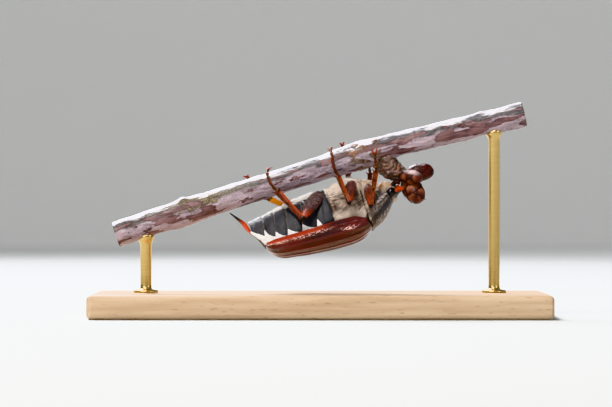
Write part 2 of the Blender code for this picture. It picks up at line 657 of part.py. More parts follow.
def scutellum():
    """The small rounded plate between the roots of the wing cases, level with them."""
    shares, widths = np.array(SCUTELLUM_OUTLINE).T
    x = CASE_FRONT - shares * SCUTELLUM_LENGTH
    z = along(BACK_LINE, x) - SCUTELLUM_THICKNESS / 2
    path = np.stack([x, np.zeros(len(x)), z], axis=1)
    depths = np.full(len(x), SCUTELLUM_THICKNESS / 2)
    sections = limb_sections(path, SCUTELLUM_HALF_WIDTH * widths, depths, (0, 1, 0), SCUTELLUM_AROUND)
    return object_from("scutellum", loft("scutellum", sections), "dark_plate", place())


def tail_spike():
    """The last plate of the back, arched round the body's end and drawn out into a flat spike."""
    path = smooth_path(TAIL_PATH, TAIL_STATIONS)
    knots = np.linspace(0, 1, len(TAIL_PATH))
    shares = np.linspace(0, 1, TAIL_STATIONS)
    widths = np.interp(shares, knots, TAIL_HALF_WIDTH)
    depths = np.interp(shares, knots, TAIL_HALF_THICKNESS)
    ahead = np.gradient(path, axis=0)
    ahead /= np.linalg.norm(ahead, axis=1)[:, None]
    turn = np.linspace(0, 2 * math.pi, TAIL_AROUND, endpoint=False)
    sections = []
    for (x, z), (along_x, along_z), wide, deep in zip(path, ahead, widths, depths):
        out = deep * np.sin(turn) - TAIL_ARCH * wide * np.cos(turn) ** 2
        sections.append(np.stack([x + along_z * out, wide * np.cos(turn), z - along_x * out], axis=1))
    return object_from("tail_spike", loft("tail_spike", sections), "leg", place())


# Twig, spur and buds


def twig_axis(x):
    """Height of the twig's axis: one slope that eases into another at the bend."""
    past = (x - TWIG_BEND_AT) / TWIG_BEND_EASE
    eased = TWIG_BEND_EASE * np.logaddexp(0, past)
    start = TWIG_BEND_EASE * np.logaddexp(0, -TWIG_BEND_AT / TWIG_BEND_EASE)
    return TWIG_HEIGHT + TWIG_SLOPE * x + (TWIG_SLOPE_BEYOND - TWIG_SLOPE) * (eased - start)


def twig_radius(x):
    radius = TWIG_RADIUS - TWIG_TAPER * x
    for middle, extra, half_length in TWIG_SWELLINGS:
        radius = radius + extra * np.exp(-(((x - middle) / half_length) ** 2))
    return radius


def on_twig(x, turn, height, side):
    """A point off the twig's bark: turn in degrees from its underside, towards the viewer where side is 1."""
    step = 0.1
    slope = (twig_axis(x + step) - twig_axis(x - step)) / (2 * step)
    down = np.array((slope, 0, -1)) / math.hypot(slope, 1)
    out = math.cos(math.radians(turn)) * down + math.sin(math.radians(turn)) * np.array((0, -side, 0))
    return np.array((x, 0, twig_axis(x))) + out * (twig_radius(x) + height)


def twig():
    x = np.linspace(TWIG_FROM, TWIG_TO, TWIG_STATIONS)
    path = np.stack([x, np.zeros(len(x)), twig_axis(x)], axis=1)
    return horn("twig", path, twig_radius(x), TWIG_AROUND, "bark")


def spur():
    """A stubby side shoot, ringed with old bud scars."""
    count = SPUR_RINGS * 2 + 3
    path = smooth_path(SPUR_PATH, count)
    radii = np.interp(np.linspace(0, 1, count), np.linspace(0, 1, len(SPUR_RADII)), SPUR_RADII)
    ringed = radii + SPUR_RING_HEIGHT * np.where(np.arange(count) % 2 == 1, 1, -SPUR_GROOVE)
    sections = limb_sections(path, ringed, ringed, (0, 1, 0), TWIG_AROUND)
    return object_from("spur", loft("spur", sections), "bark")


def bud(name, root, tip, radius):
    """A plump bud, round at its root and drawn to a blunt point."""
    shares, girth = np.array(BUD_OUTLINE).T
    root, tip = np.array(root, float), np.array(tip, float)
    path = root + np.outer(shares, tip - root)
    sections = limb_sections(path, girth * radius, girth * radius, (0, 1, 0), TWIG_AROUND)
    return object_from(name, loft(name, sections), "bud")


# Legs


def thigh(name, leg):
    side = leg["side"]
    hip, knee = (to_world(mirrored([leg[end]], side)[0]) for end in ("hip", "knee"))
    wide, deep = leg["thigh"]
    shares, girth = np.array(THIGH_OUTLINE).T
    path = hip + np.outer(shares, knee - hip)
    depths = np.maximum(deep * girth, LEG_ROOT_DEPTH)
    sections = limb_sections(path, wide * girth, depths, LEG_PLANE, THIGH_AROUND)
    return object_from("thigh_" + name, loft("thigh_" + name, sections), "leg")


def shin(name, leg):
    """The shin starts in a knob at the knee and widens to its end."""
    knee = to_world(mirrored([leg["knee"]], leg["side"])[0])
    ankle = on_twig(*leg["ankle"], leg["side"])
    thin, thick = leg["shin"]
    knob = [(share, thin * girth) for share, girth in SHIN_KNOB]
    shaft = [(share, thin + (thick - thin) * girth) for share, girth in SHIN_OUTLINE]
    shares, radii = np.array(knob + shaft).T
    path = knee + np.outer(shares, ankle - knee)
    sections = limb_sections(path, radii, radii * SHIN_FLATNESS, LEG_PLANE, SHIN_AROUND)
    return object_from("shin_" + name, loft("shin_" + name, sections), "leg")


def add_teeth(name, leg):
    """Teeth on the outer edge of a shin, and the two spines at its end."""
    side = leg["side"]
    knee = to_world(mirrored([leg["knee"]], side)[0])
    ankle = on_twig(*leg["ankle"], side)
    thick = leg["shin"][1]
    ahead = (ankle - knee) / np.linalg.norm(ankle - knee)
    outer = np.cross(ahead, (1, 0, 0))
    outer *= np.sign(outer @ np.array((0, -side, 0))) / np.linalg.norm(outer)
    rearward = np.cross(ahead, outer)
    teeth = []
    for number in range(leg["teeth"]):
        root = knee + (ankle - knee) * (TOOTH_LAST_AT - TOOTH_SPACING * number)
        tip = root + outer * (thick + TOOTH_HEIGHT - TOOTH_HEIGHT_LOST * number) + ahead * TOOTH_LEAN
        teeth.append(horn(f"tooth_{number}", [root, (root + tip) / 2, tip], TOOTH_RADII, HORN_AROUND, "leg"))
    for way in (-1, 1):
        root = ankle - ahead * SPINE_DEPTH + rearward * way * thick / 2
        tip = ankle + ahead * SPINE_REACH + rearward * way * (thick + SPINE_SPLAY)
        teeth.append(horn(f"spine_{way}", [root, (root + tip) / 2, tip], SPINE_RADII, HORN_AROUND, "leg"))
    fuse(bpy.data.objects["shin_" + name], teeth)


def foot_path(leg, count):
    side = leg["side"]
    return smooth_path([on_twig(*step, side) for step in (leg["ankle"], *leg["foot"])], count)


def foot(name, leg):
    """Five short joints that wrap the twig."""
    per_joint = len(FOOT_BEAD)
    count = FOOT_JOINTS * per_joint + 1
    radii = FOOT_RADIUS + np.array(FOOT_BEAD)[np.arange(count) % per_joint]
    sections = limb_sections(foot_path(leg, count), radii, radii, LEG_PLANE, FOOT_AROUND)
    return object_from("foot_" + name, loft("foot_" + name, sections), "leg")


def add_claws(name, leg):
    """The pair of hooked claws on the end of a foot."""
    side = leg["side"]
    tip = on_twig(*leg["claws"], side)
    end = foot_path(leg, 2)[-1]
    ahead = (tip - end) / np.linalg.norm(tip - end)
    inward = on_twig(leg["claws"][0], leg["claws"][1], 0.0, side) - tip
    inward /= np.linalg.norm(inward)
    claws = []
    for way in (-1, 1):
        apart = np.cross(ahead, inward) * way
        curl, radii = [end - ahead * CLAW_RADIUS], [CLAW_RADIUS * 1.2]
        for length, opening, drop, girth in CLAW_STEPS:
            curl.append(end + ahead * CLAW_LENGTH * length + apart * CLAW_OPENING * opening + inward * drop)
            radii.append(CLAW_RADIUS * girth)
        claws.append(horn(f"claw_{way}", curl, radii, HORN_AROUND, "leg"))
    fuse(bpy.data.objects["foot_" + name], claws)


# Stand


def stand():
    """A flat base with softened edges, and two rods cut to meet the twig."""
    length, width, height = (side * MM for side in BASE_SIZE)
    bpy.ops.mesh.primitive_cube_add(size=1, location=(0, 0, height / 2))
    base = bpy.context.object
    base.name = base.data.name = "stand_base"
    base.data.transform(Matrix.Diagonal((length, width, height, 1)))
    base.data.materials.append(material("stand_wood"))
    edge = base.modifiers.new("soft_edges", "BEVEL")
    edge.width = BASE_EDGE * MM
    edge.segments = BASE_EDGE_STEPS
    move_to_parts(base)
    for name, x in ROD_PLACES.items():
        foot_at = BASE_SIZE[2] + GAP
        top = twig_axis(x)
        bpy.ops.mesh.primitive_cylinder_add(
            vertices=ROD_AROUND,
            radius=ROD_RADIUS * MM,
            depth=(top - foot_at) * MM,
            location=(x * MM, 0, (top + foot_at) / 2 * MM),
        )
        rod = bpy.context.object
        rod.name = rod.data.name = name
        rod.data.materials.append(material("stand_metal"))
        move_to_parts(rod)


def move_to_parts(item):
    for group in list(item.users_collection):
        group.objects.unlink(item)
    PARTS.objects.link(item)


def build():
    breast()
    abdomen()
    front_shield()
    head()
    scutellum()
    tail_spike()
    for side in (1, -1):
        wing_case(side)
        eye(side)
        feeler(side)
        palp(side)
    twig()
    spur()
    for name, root, tip, radius in BUDS:
        bud(name, root, tip, radius)
    for name, leg in LEGS.items():
        thigh(name, leg)
        shin(name, leg)
        foot(name, leg)
    stand()
    cuts = {
        "front_shield": ["head"],
        "head": ["eye_left", "eye_right"],
        "eye_left": ["front_shield"],
        "eye_right": ["front_shield"],
        "feeler_left": ["head", "eye_left"],
        "feeler_right": ["head", "eye_right"],
        "palp_left": ["head", "eye_left"],
        "palp_right": ["head", "eye_right"],
        "wing_case_left": ["scutellum"],
        "wing_case_right": ["scutellum"],
        "tail_spike": ["abdomen", "wing_case_left", "wing_case_right"],
        "spur": ["twig"],
        "bud_upper": ["spur"],
        "bud_middle": ["spur", "bud_upper"],
        "bud_lower": ["spur", "bud_upper", "bud_middle", "head"],
        "stand_rod_left": ["twig"],
        "stand_rod_right": ["twig"],
    }
    for name in LEGS:
        carriers = ["front_shield"] if name.startswith("front") else ["breast", "abdomen"]
        cuts["thigh_" + name] = [*carriers, "shin_" + name]
        cuts["foot_" + name] = ["shin_" + name]
    cut_clear(cuts)
    for side in (1, -1):
        add_club(side)
    for name, leg in LEGS.items():
        add_teeth(name, leg)
        add_claws(name, leg)


clear_scene()
PARTS = new_collection("may_beetle_on_twig")
CUTTERS = new_collection("cutters")
CUTTERS.hide_render = True
build()
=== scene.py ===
# %% [markdown]
# # A cockchafer under a cherry twig
# The model in this lesson is a may beetle, life size, hanging back down under a short cut length of
# cherry twig, as a museum would show it. Another script has made its solids, and here they get their
# looks: ribbed wing cases, hairy breast, slate plates with white corners, orange legs, bark and buds. The
# first cell loads the solids as a fixed frame, and can read the box of any of them.

# %% The frame
import math

import bmesh
import bpy
import numpy as np
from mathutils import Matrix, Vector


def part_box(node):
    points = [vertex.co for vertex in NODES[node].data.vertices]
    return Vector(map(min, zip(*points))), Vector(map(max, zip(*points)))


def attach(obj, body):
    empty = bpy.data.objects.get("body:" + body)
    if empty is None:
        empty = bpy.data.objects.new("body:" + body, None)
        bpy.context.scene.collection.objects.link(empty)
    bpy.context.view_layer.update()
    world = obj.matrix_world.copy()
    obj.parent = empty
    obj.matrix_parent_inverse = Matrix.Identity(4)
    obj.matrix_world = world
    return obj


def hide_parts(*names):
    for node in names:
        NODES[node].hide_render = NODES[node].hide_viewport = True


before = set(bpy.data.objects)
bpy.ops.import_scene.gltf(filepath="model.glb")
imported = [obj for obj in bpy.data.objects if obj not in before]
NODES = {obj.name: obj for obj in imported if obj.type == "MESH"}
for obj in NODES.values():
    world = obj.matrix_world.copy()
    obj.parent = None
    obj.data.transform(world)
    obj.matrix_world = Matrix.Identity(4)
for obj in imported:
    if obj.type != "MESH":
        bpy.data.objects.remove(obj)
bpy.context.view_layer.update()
MM = 0.001

# %% [markdown]
# ## The beetle's own frame
# A body is easier to draw lying straight. So every line of the beetle is written in millimetres in its
# own frame: x towards the head, y to its left, z out of its back. One function then turns points over and
# tilts them, to hang under the twig. The real size comes from the species, 25 to 30 mm long, and from the
# twig beside it.

# %% From the beetle to the world
PITCH = math.radians(16)
BODY_AT = (-0.86, 15.34)
SIDES = ((1, "left"), (-1, "right"))


def hung(points):
    """Points of the beetle's frame in the world, both in millimetres."""
    x, y, z = np.moveaxis(np.asarray(points, float), -1, 0)
    ahead, up = math.cos(PITCH), math.sin(PITCH)
    return np.stack([BODY_AT[0] + ahead * x + up * z, -y, BODY_AT[1] + up * x - ahead * z], axis=-1)


def toward(*way):
    """A direction of the beetle's frame in the world."""
    return hung(way) - hung(np.zeros(3))


print("head end at", hung((15.5, 0, -1.5)).round(1), "tail tip at", hung((-13.1, 0, -5.8)).round(1))

# %% [markdown]
# ## Lines, rings and bumps
# A beetle's shell is smooth, so a few measured points and a curve through them say more than a long
# table. along() reads such a line, smooth_path() does the same in space, and smooth() and bell() fade a
# feature in and out.

# %% Lines and fades


def along(line, x):
    """The smooth line through (x, value) pairs, read at x."""
    knots, values = np.array(line, float).T
    slopes = np.gradient(values, knots)
    x = np.clip(np.asarray(x, float), knots[0], knots[-1])
    i = np.clip(np.searchsorted(knots, x) - 1, 0, len(knots) - 2)
    step = knots[i + 1] - knots[i]
    t = (x - knots[i]) / step
    rise = values[i + 1] - values[i]
    start, end = slopes[i] * step, slopes[i + 1] * step
    return values[i] + t * start + t * t * (3 * rise - 2 * start - end) + t**3 * (start + end - 2 * rise)


def evenly(values, shares):
    """The smooth line through values that stand evenly over 0 to 1, read at shares."""
    return along(np.stack([np.linspace(0, 1, len(values)), values], axis=1), shares)


def smooth_path(points, count):
    """count points on a smooth curve through the given ones."""
    points = np.array(points, float)
    places = np.concatenate([[0], np.cumsum(np.linalg.norm(np.diff(points, axis=0), axis=1))])
    wanted = np.linspace(0, places[-1], count)
    return np.stack([along(np.stack([places, column], axis=1), wanted) for column in points.T], axis=1)


def unit(ways):
    """The same directions, one long."""
    return ways / np.maximum(np.linalg.norm(ways, axis=-1, keepdims=True), 1e-9)


def smooth(value, low=0.0, high=1.0):
    """0 below low, 1 above high, and an S curve between."""
    t = np.clip((np.asarray(value, float) - low) / (high - low), 0, 1)
    return t * t * (3 - 2 * t)


def bell(value, middle, half_width):
    """1 at the middle, fading softly on both sides."""
    return np.exp(-(((np.asarray(value, float) - middle) / half_width) ** 2))


def signed_power(value, power):
    """A power of the size that keeps the sign. It makes a circle more square, or more pointed."""
    return np.sign(value) * np.abs(value) ** power


def full_turn(count):
    """Angles once round a ring."""
    return np.linspace(0, 2 * math.pi, count, endpoint=False)


print("a curve from 0 to 1 reads", along(((0, 0), (1, 1), (2, 1)), 0.5).round(3), "half way")

# %% [markdown]
# ### Unevenness
# Nothing that grew is quite even. ripple() adds up a few waves that run in seeded directions, so the bumps
# look random, yet each run gives the same beetle.

# %% Ripple


def ripple(points, size, seed, waves=16):
    """Bumps about size millimetres apart, from about -1 to 1."""
    draw = np.random.default_rng(seed)
    ways = unit(draw.normal(size=(waves, 3))) * (draw.uniform(0.6, 1.7, waves) * 2 * math.pi / size)[:, None]
    phases = draw.uniform(0, 2 * math.pi, waves)
    return np.sin(np.asarray(points, float) @ ways.T + phases).sum(axis=-1) / math.sqrt(waves)


sample = ripple(np.random.default_rng(1).normal(size=(999, 3)) * 9, 3, 5)
print("a ripple runs from", sample.min().round(2), "to", sample.max().round(2))

# %% [markdown]
# ### Rings
# Much of a beetle is tubes, so its parts are drawn as rings that stand square to a path. Ribs, grooves and
# bumps are then pushed out along the normals, and follow the form wherever it bends.

# %% Rings


def sections_on(path, wide, deep, wide_axis, around):
    """Oval rings square to a path in space."""
    path = np.asarray(path, float)
    ahead = unit(np.gradient(path, axis=0))
    axis = np.array(wide_axis, float)
    across = unit(axis[None, :] - (ahead @ axis)[:, None] * ahead)
    third = np.cross(ahead, across)
    turn = full_turn(around)
    wide, deep = np.broadcast_to(wide, len(path)), np.broadcast_to(deep, len(path))
    return (
        path[:, None, :]
        + (wide[:, None] * np.cos(turn))[:, :, None] * across[:, None, :]
        + (deep[:, None] * np.sin(turn))[:, :, None] * third[:, None, :]
    )


def tube(path, radii, axis, around):
    """Round rings square to a path in space, which start at the side of the axis."""
    return sections_on(path, radii, radii, axis, around)


def normals_of(rings, closed=True):
    """Unit normals of a grid of points that point away from the grid's middle line."""
    padded = np.concatenate([rings[:, -1:], rings, rings[:, :1]], axis=1) if closed else rings
    round_way = np.gradient(padded, axis=1)
    normal = unit(np.cross(round_way, np.gradient(padded, axis=0)))
    normal = normal[:, 1:-1] if closed else normal
    outward = rings - rings.mean(axis=1, keepdims=True)
    return normal * np.sign((normal * outward).sum(axis=-1).mean())


def pushed(rings, heights):
    """Rings with each point moved out along its normal."""
    return rings + normals_of(rings) * heights[..., None]


sample = tube(((0, 0, 0), (9, 0, 0)), 2.0, (0, 1, 0), 8)
print("a tube of radius 2 is", np.ptp(sample[..., 1]).round(3), "wide")

# %% [markdown]
# ## From points to pieces
# Blender can make a mesh from primitives, curves or modifiers. Here nearly every form is a skin over
# rings of points, so one small class takes rings in millimetres and casts them as a mesh in metres. It
# also keeps numbers for each point, called marks, such as how far along a plate it lies. The materials
# read those marks, so a pattern follows the body and not the camera.

# %% Faces, marks and pieces


def grid_faces(index, closed=True):
    """Faces between the rows of a grid of point numbers; closed also joins its last column to its first."""
    left, right = (index, np.roll(index, -1, axis=1)) if closed else (index[:, :-1], index[:, 1:])
    return np.stack([left[:-1], right[:-1], right[1:], left[1:]], axis=-1).reshape(-1, 4).tolist()


def keep_marks(mesh, marks, place=None):
    """Stores one number per point under each name, and the points that patterns are read at."""
    for name, values in marks.items():
        mesh.attributes.new(name, "FLOAT", "POINT").data.foreach_set("value", np.asarray(values, np.float32))
    if place is not None:
        layer = mesh.attributes.new("place", "FLOAT_VECTOR", "POINT")
        layer.data.foreach_set("vector", np.asarray(place, np.float32).ravel())


def new_object(name, data):
    """An object in the scene that shows a mesh, a light or a camera."""
    made = bpy.data.objects.new(name, data)
    bpy.context.scene.collection.objects.link(made)
    return made


def new_piece(name, mesh, finish):
    """A smooth piece with its finish that rides on the model."""
    mesh.shade_smooth()
    mesh.materials.append(finish)
    piece = new_object(name, mesh)
    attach(piece, "root")
    return piece


print("a tube of 3 rings with 4 points has", len(grid_faces(np.arange(12).reshape(3, 4))), "side faces")

# %% [markdown]
# ### The mould
# add() takes a tube, or an open sheet, with its marks, and on_body() does so in the beetle's own frame.
# cast() turns all that was added into one mesh, gives it a finish, and hides the solids that it replaces.

# %% The mould


class Mould:
    """Rings and sheets of points, in millimetres, that become one mesh."""

    def __init__(self):
        self.points, self.faces, self.where, self.marks, self.count = [], [], [], {}, 0

    def add(self, rings, closed=True, where=None, **marks):
        """Adds a tube, or a sheet where closed is False. Patterns are read at the points in where."""
        rings = np.asarray(rings, float)
        rows, across = rings.shape[:2]
        index = self.count + np.arange(rows * across).reshape(rows, across)
        self.faces += grid_faces(index, closed)
        if closed:
            self.faces += [index[0, ::-1].tolist(), index[-1].tolist()]
        self.points.append(rings.reshape(-1, 3))
        self.where.append(np.asarray(rings if where is None else where, float).reshape(-1, 3))
        for name, value in marks.items():
            value = np.asarray(value, float)
            if value.ndim == 1:
                value = value[:, None]
            full = np.broadcast_to(value, (rows, across)).ravel()
            self.marks.setdefault(name, []).append((self.count, full))
        self.count += rows * across
        return self

    def on_body(self, rings, **more):
        """Adds rings of the beetle's own frame, hung under the twig."""
        return self.add(hung(rings), where=rings, **more)

    def cast(self, name, finish, slot, *replaced, thickness=0.0):
        """Makes the mesh a piece of the model, in place of the named solids."""
        mesh = bpy.data.meshes.new(name)
        mesh.from_pydata((np.concatenate(self.points) * MM).tolist(), [], self.faces)
        marks = {mark: np.zeros(self.count) for mark in self.marks}
        for mark, runs in self.marks.items():
            for start, run in runs:
                marks[mark][start:start + len(run)] = run
        keep_marks(mesh, marks, np.concatenate(self.where))
        work = bmesh.new()
        work.from_mesh(mesh)
        bmesh.ops.recalc_face_normals(work, faces=work.faces)
        work.to_mesh(mesh)
        work.free()
        piece = new_piece(name, mesh, finish)
        if thickness:
            shell = piece.modifiers.new("thickness", "SOLIDIFY")
            shell.thickness = thickness * MM
            shell.offset = -1
        if replaced:
            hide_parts(*replaced)
        print(f"{name}: {len(mesh.vertices)} points, {len(mesh.polygons)} faces")


print("a new mould holds", Mould().count, "points")

# %% [markdown]
# ## Materials
# Each finish is a Principled shader fed by a few nodes. This table says what the lesson calls each kind of
# node, and which of its sockets are used.

# %% Kinds of nodes
KINDS = {
    # the lesson's name: Blender's node, settings, the inputs that values are given for, and the output
    "mix": ("ShaderNodeMix", {"data_type": "RGBA"}, (0, 6, 7), 2),
    "range": ("ShaderNodeMapRange", {"interpolation_type": "SMOOTHSTEP"},
              ("Value", "From Min", "From Max", "To Min", "To Max"), "Result"),
    "sum": ("ShaderNodeMath", {"operation": "ADD"}, (0, 1), "Value"),
    "difference": ("ShaderNodeMath", {"operation": "SUBTRACT"}, (0, 1), "Value"),
    "product": ("ShaderNodeMath", {"operation": "MULTIPLY"}, (0, 1), "Value"),
    "mark": ("ShaderNodeAttribute", {}, (), "Fac"),
    "place": ("ShaderNodeAttribute", {"attribute_name": "place"}, (), "Vector"),
    "object place": ("ShaderNodeTexCoord", {}, (), "Object"),
    "stretched": ("ShaderNodeMapping", {}, ("Vector", "Scale"), "Vector"),
    "noise": ("ShaderNodeTexNoise", {}, ("Vector", "Scale", "Detail"), "Fac"),
    "cells": ("ShaderNodeTexVoronoi", {"feature": "F1"}, ("Vector", "Scale"), "Distance"),
    "bump": ("ShaderNodeBump", {}, ("Height", "Distance", "Strength"), "Normal"),
}


print(len(KINDS), "kinds of nodes")

# %% [markdown]
# ### Colour
# Colours are written as sRGB hex, as one reads them off a picture, and one function turns them to the
# linear values that the shader needs.

# %% Colour


def colour(code):
    """A linear colour from an sRGB hex code."""
    parts = [int(code[i:i + 2], 16) / 255 for i in (1, 3, 5)]
    linear = [p / 12.92 if p <= 0.04045 else ((p + 0.055) / 1.055) ** 2.4 for p in parts]
    return (*linear, 1.0)


print("chitin red-brown in linear light:", [round(part, 3) for part in colour("#7a2a14")[:3]])

# %% [markdown]
# ### A finish
# One small function, add(), adds any node with its settings and links. start() lays the first colour and
# over() lays another over it, as thick as a pattern or a mark says, and done() feeds the shader.

# %% A finish


class Finish:
    """A material whose colour is laid on coat by coat. Plain values are set on the shader's own sockets."""

    def __init__(self, name, **values):
        self.material = bpy.data.materials.new(name)
        self.material.use_nodes = True
        self.tree = self.material.node_tree
        self.shader = self.tree.nodes["Principled BSDF"]
        self.tone = None
        for socket, value in values.items():
            self.shader.inputs[socket.replace("_", " ")].default_value = value

    def add(self, kind, *values, **settings):
        """Adds a node and gives its output. A value is a number, a hex colour, a mark's name or an output."""
        node_type, usual, sockets, output = KINDS[kind]
        made = self.tree.nodes.new(node_type)
        for name, setting in {**usual, **settings}.items():
            setattr(made, name, setting)
        for socket, value in zip(sockets, values):
            if isinstance(value, str):
                value = colour(value) if value[0] == "#" else self.add("mark", attribute_name=value)
            if isinstance(value, bpy.types.NodeSocket):
                self.tree.links.new(value, made.inputs[socket])
            else:
                made.inputs[socket].default_value = value
        return made.outputs[output]

    def start(self, a, b, amount, *limits):
        """The first colour, between a and b."""
        self.tone = a
        self.over(b, amount, *limits)

    def over(self, tint, amount, *limits, **settings):
        """Lays a colour over what is there. amount is brought between limits, where they are given."""
        amount = self.add("range", amount, *limits) if limits else amount
        self.tone = self.add("mix", amount, self.tone, tint, **settings)

    def spots(self, size, stretch=(1.0, 1.0, 1.0), detail=3.0, low=0.35, high=0.65, start=0.0, end=1.0):
        """Soft random spots about size millimetres apart, from start to end."""
        place = self.add("stretched", self.add("place"), stretch)
        return self.add("range", self.add("noise", place, 1.0 / size, detail), low, high, start, end)

    def grain(self, stretch, detail):
        """Noise in the object's own space, stretched along the grain of wood or the strokes of a brush."""
        return self.add("noise", self.add("stretched", self.add("object place"), stretch), 1.0, detail)

    def done(self, relief=None, depth=0.0, rough=None):
        """Feeds colour, roughness and a relief of that depth in millimetres to the shader."""
        feeds = {"Base Color": self.tone, "Roughness": rough}
        if relief is not None:
            feeds["Normal"] = self.add("bump", relief, depth * MM, 1.0)
        for socket, output in feeds.items():
            if output is not None:
                self.tree.links.new(output, self.shader.inputs[socket])
        print("made", self.material.name)
        return self.material


print("a Mix node's colours go into the sockets", KINDS["mix"][2][1:])

# %% [markdown]
# ### Wing case shell
# The wing cases are chitin, a hard, layered skin with a clear, waxy surface and an index of refraction of
# about 1.56. The animal itself moulded them smooth. They are red-brown where light goes a little way in,
# and dusted with short pale scales between the ribs. That gives the eye a glossy, deep surface with a soft
# bloom. The marks tell the crests of the ribs, the light orange-red outer edge and how thick the scales
# lie. The thin dark lines beside the ribs and along the front end are painted shade, and pale specks near
# the edge and on the shoulder are painted highlights, where the pits are also deeper. The dust is drawn at
# 0.25 mm, coarser than the real 0.1 mm, so that it shows.

# %% Wing case finish
CHITIN_IOR = 1.56
shell = Finish(
    "wing case, red-brown glossy chitin", IOR=CHITIN_IOR, Specular_IOR_Level=0.28, Coat_Weight=0.25,
    Coat_Roughness=0.08)
shell.start("#2c080a", "#581412", shell.spots(2.6, (0.35, 1, 1)))
shell.over("#601a14", "rib", 0.25, 1.0, 0.0, 0.4)
# painted shade: thin dark lines beside the ribs and along the front end
shell.over("#160506", "furrow", 0.3, 1.0, 0.0, 0.6)
shell.over("#4a1018", "dusty", 0.3, 0.8, 0.0, 0.55)
shell.over("#962e0e", "edge", 0.2, 0.9)
fine_dust = shell.spots(0.25, (0.35, 1, 1), 2.0, 0.3, 0.95)
patches = shell.spots(1.9, (0.3, 1, 1), 3.0, 0.25, 0.6)
dust = shell.add("product", shell.add("product", fine_dust, patches), "dusty")
shell.over("#603e4a", dust)
# pale specks near the edge and on the shoulder: painted highlights
painted_glint_specks = shell.add("product", shell.spots(0.17, (0.6, 1, 1), 2.0, 0.47, 0.6), "sparkle")
shell.over("#eebcb2", painted_glint_specks, 0.1, 1.2, 0.0, 0.9)
pits = shell.add("product", shell.spots(0.22, (1, 1, 1), 1.0, 0.4, 0.7), shell.add("sum", 1.0, "sparkle"))
wing_case_finish = shell.done(
    shell.add("sum", pits, shell.spots(0.9, (0.5, 1, 1))), 0.026,
    rough=shell.add("range", dust, 0.0, 1.0, 0.17, 0.42))

# %% [markdown]
# ### Slate plates
# The belly plates, the front shield and the head are black chitin under very short grey hair, so they
# look slate grey and dull, with fine streaks along the body. On each belly plate one corner is packed
# with white scales: the mark white says how far a point is inside that corner. The hind rim of a plate is
# thin and lets light through. The mark coat tells where the skin under longer hair takes that hair's
# colour.

# %% Slate plate finish
slate = Finish(
    "body plate, black chitin with grey down", Roughness=0.5, IOR=CHITIN_IOR, Sheen_Weight=0.08,
    Sheen_Roughness=0.45, Sheen_Tint=colour("#c9c4bf"))
streaks = slate.spots(0.28, (1, 0.3, 0.3), 3.0, 0.3, 0.75)
slate.start("#101015", "#292934", streaks)
slate.over("#1d1d23", slate.spots(1.8, (1, 0.6, 0.6), 3.0))
# black chitin, and painted shade in the gap at the front of the breast
slate.over("#100e0e", "black", 0.1, 0.9)
slate.over("#a39384", "rim", 0.3, 1.0, 0.0, 0.28)
strands = slate.spots(0.22, (0.22, 1, 1), 4.0, 0.3, 0.7)
slate.over(slate.add("mix", strands, "#7a5c4b", "#dfc2aa"), "coat", 0.2, 0.8)
ragged = slate.add("sum", "white", slate.spots(0.18, (1, 0.4, 0.4), 2.0, 0.2, 0.8, -0.05, 0.05))
white_down = slate.add("mix", slate.spots(0.2, (0.4, 1, 1), 2.0), "#cfcaca", "#f6f5f6")
slate.over(white_down, ragged, -0.02, 0.05)
lie_of_hair = slate.add("sum", streaks, slate.add("product", strands, "coat"))
plate_finish = slate.done(slate.add("sum", lie_of_hair, slate.spots(0.12, (0.5, 1, 1))), 0.03)

# %% [markdown]
# ### Hair
# A cockchafer's hair is pale and fine, and each one bends and lies along the body. It is made as thin
# solid tufts further on. The mark shade says how light a tuft is, gold and snow turn it yellow or white,
# and strand differs from tuft to tuft, so the coat looks combed and not painted. Hair is a protein, with
# an index of refraction near 1.55.

# %% Hair finish
hair = Finish("coat, pale fine hair", Roughness=0.5, IOR=1.55, Sheen_Weight=0.2)
hair.start("#5e4334", "#ffeddb", "shade", 0.0, 1.0)
hair.over("#dd9a34", "gold", 0.0, 1.0)
hair.over("#f8f6f6", "snow")
hair.over(hair.add("mix", "strand", "#b89c8c", "#ffffff"), 0.5, blend_type="MULTIPLY")
hair_finish = hair.done()

# %% [markdown]
# ### Legs, tail and feelers
# The thin parts are chitin too, but less dark, so they are orange-red, with almost black joints. dark is
# 1 at a joint, grey is 1 on the hairy part of a thigh, and one more mark is 1 where a part is orange, and
# where a thin part is painted with a glow, as if light came through, or painted lighter on one side.

# %% Leg finish
amber = Finish(
    "leg, orange-brown glossy chitin", IOR=CHITIN_IOR, Specular_IOR_Level=0.22, Subsurface_Weight=0.25,
    Subsurface_Radius=(1.0, 0.3, 0.08), Subsurface_Scale=0.6 * MM)
amber.start("#2e0a04", "#5c1805", amber.spots(0.8, (1, 1, 1)))
# orange of the thin parts, and their painted glow and painted lit side
amber.over("#b43c08", "bright", 0.0, 0.9)
amber.over("#f09a1c", "bright", 0.8, 1.0)
amber.over(amber.add("mix", amber.spots(0.25, (0.6, 1, 1)), "#2c1e20", "#5e484a"), "grey", 0.1, 0.8)
amber.over("#160806", "dark", 0.15, 0.9)
leg_finish = amber.done(
    amber.spots(0.2, (1, 1, 1), 2.0), 0.02, rough=amber.add("range", "grey", 0.0, 0.6, 0.36, 0.75))

# %% [markdown]
# ### Eyes
# A compound eye is thousands of tiny clear lenses over dark pigment. They are 0.02 mm apart, far too fine
# to show, so they are drawn at 0.12 mm as a faint honeycomb under a clear, wet-looking surface.

# %% Eye finish
LENS_SIZE = 0.12
lens = Finish(
    "eye, black lenses", Base_Color=colour("#0b0a0c"), Roughness=0.22, IOR=1.52, Specular_IOR_Level=0.3,
    Coat_Weight=0.25, Coat_Roughness=0.04)
honeycomb = lens.add("cells", lens.add("place"), 1 / LENS_SIZE)
eye_finish = lens.done(lens.add("range", honeycomb, 0.0, 0.6, 1.0, 0.0), 0.012)
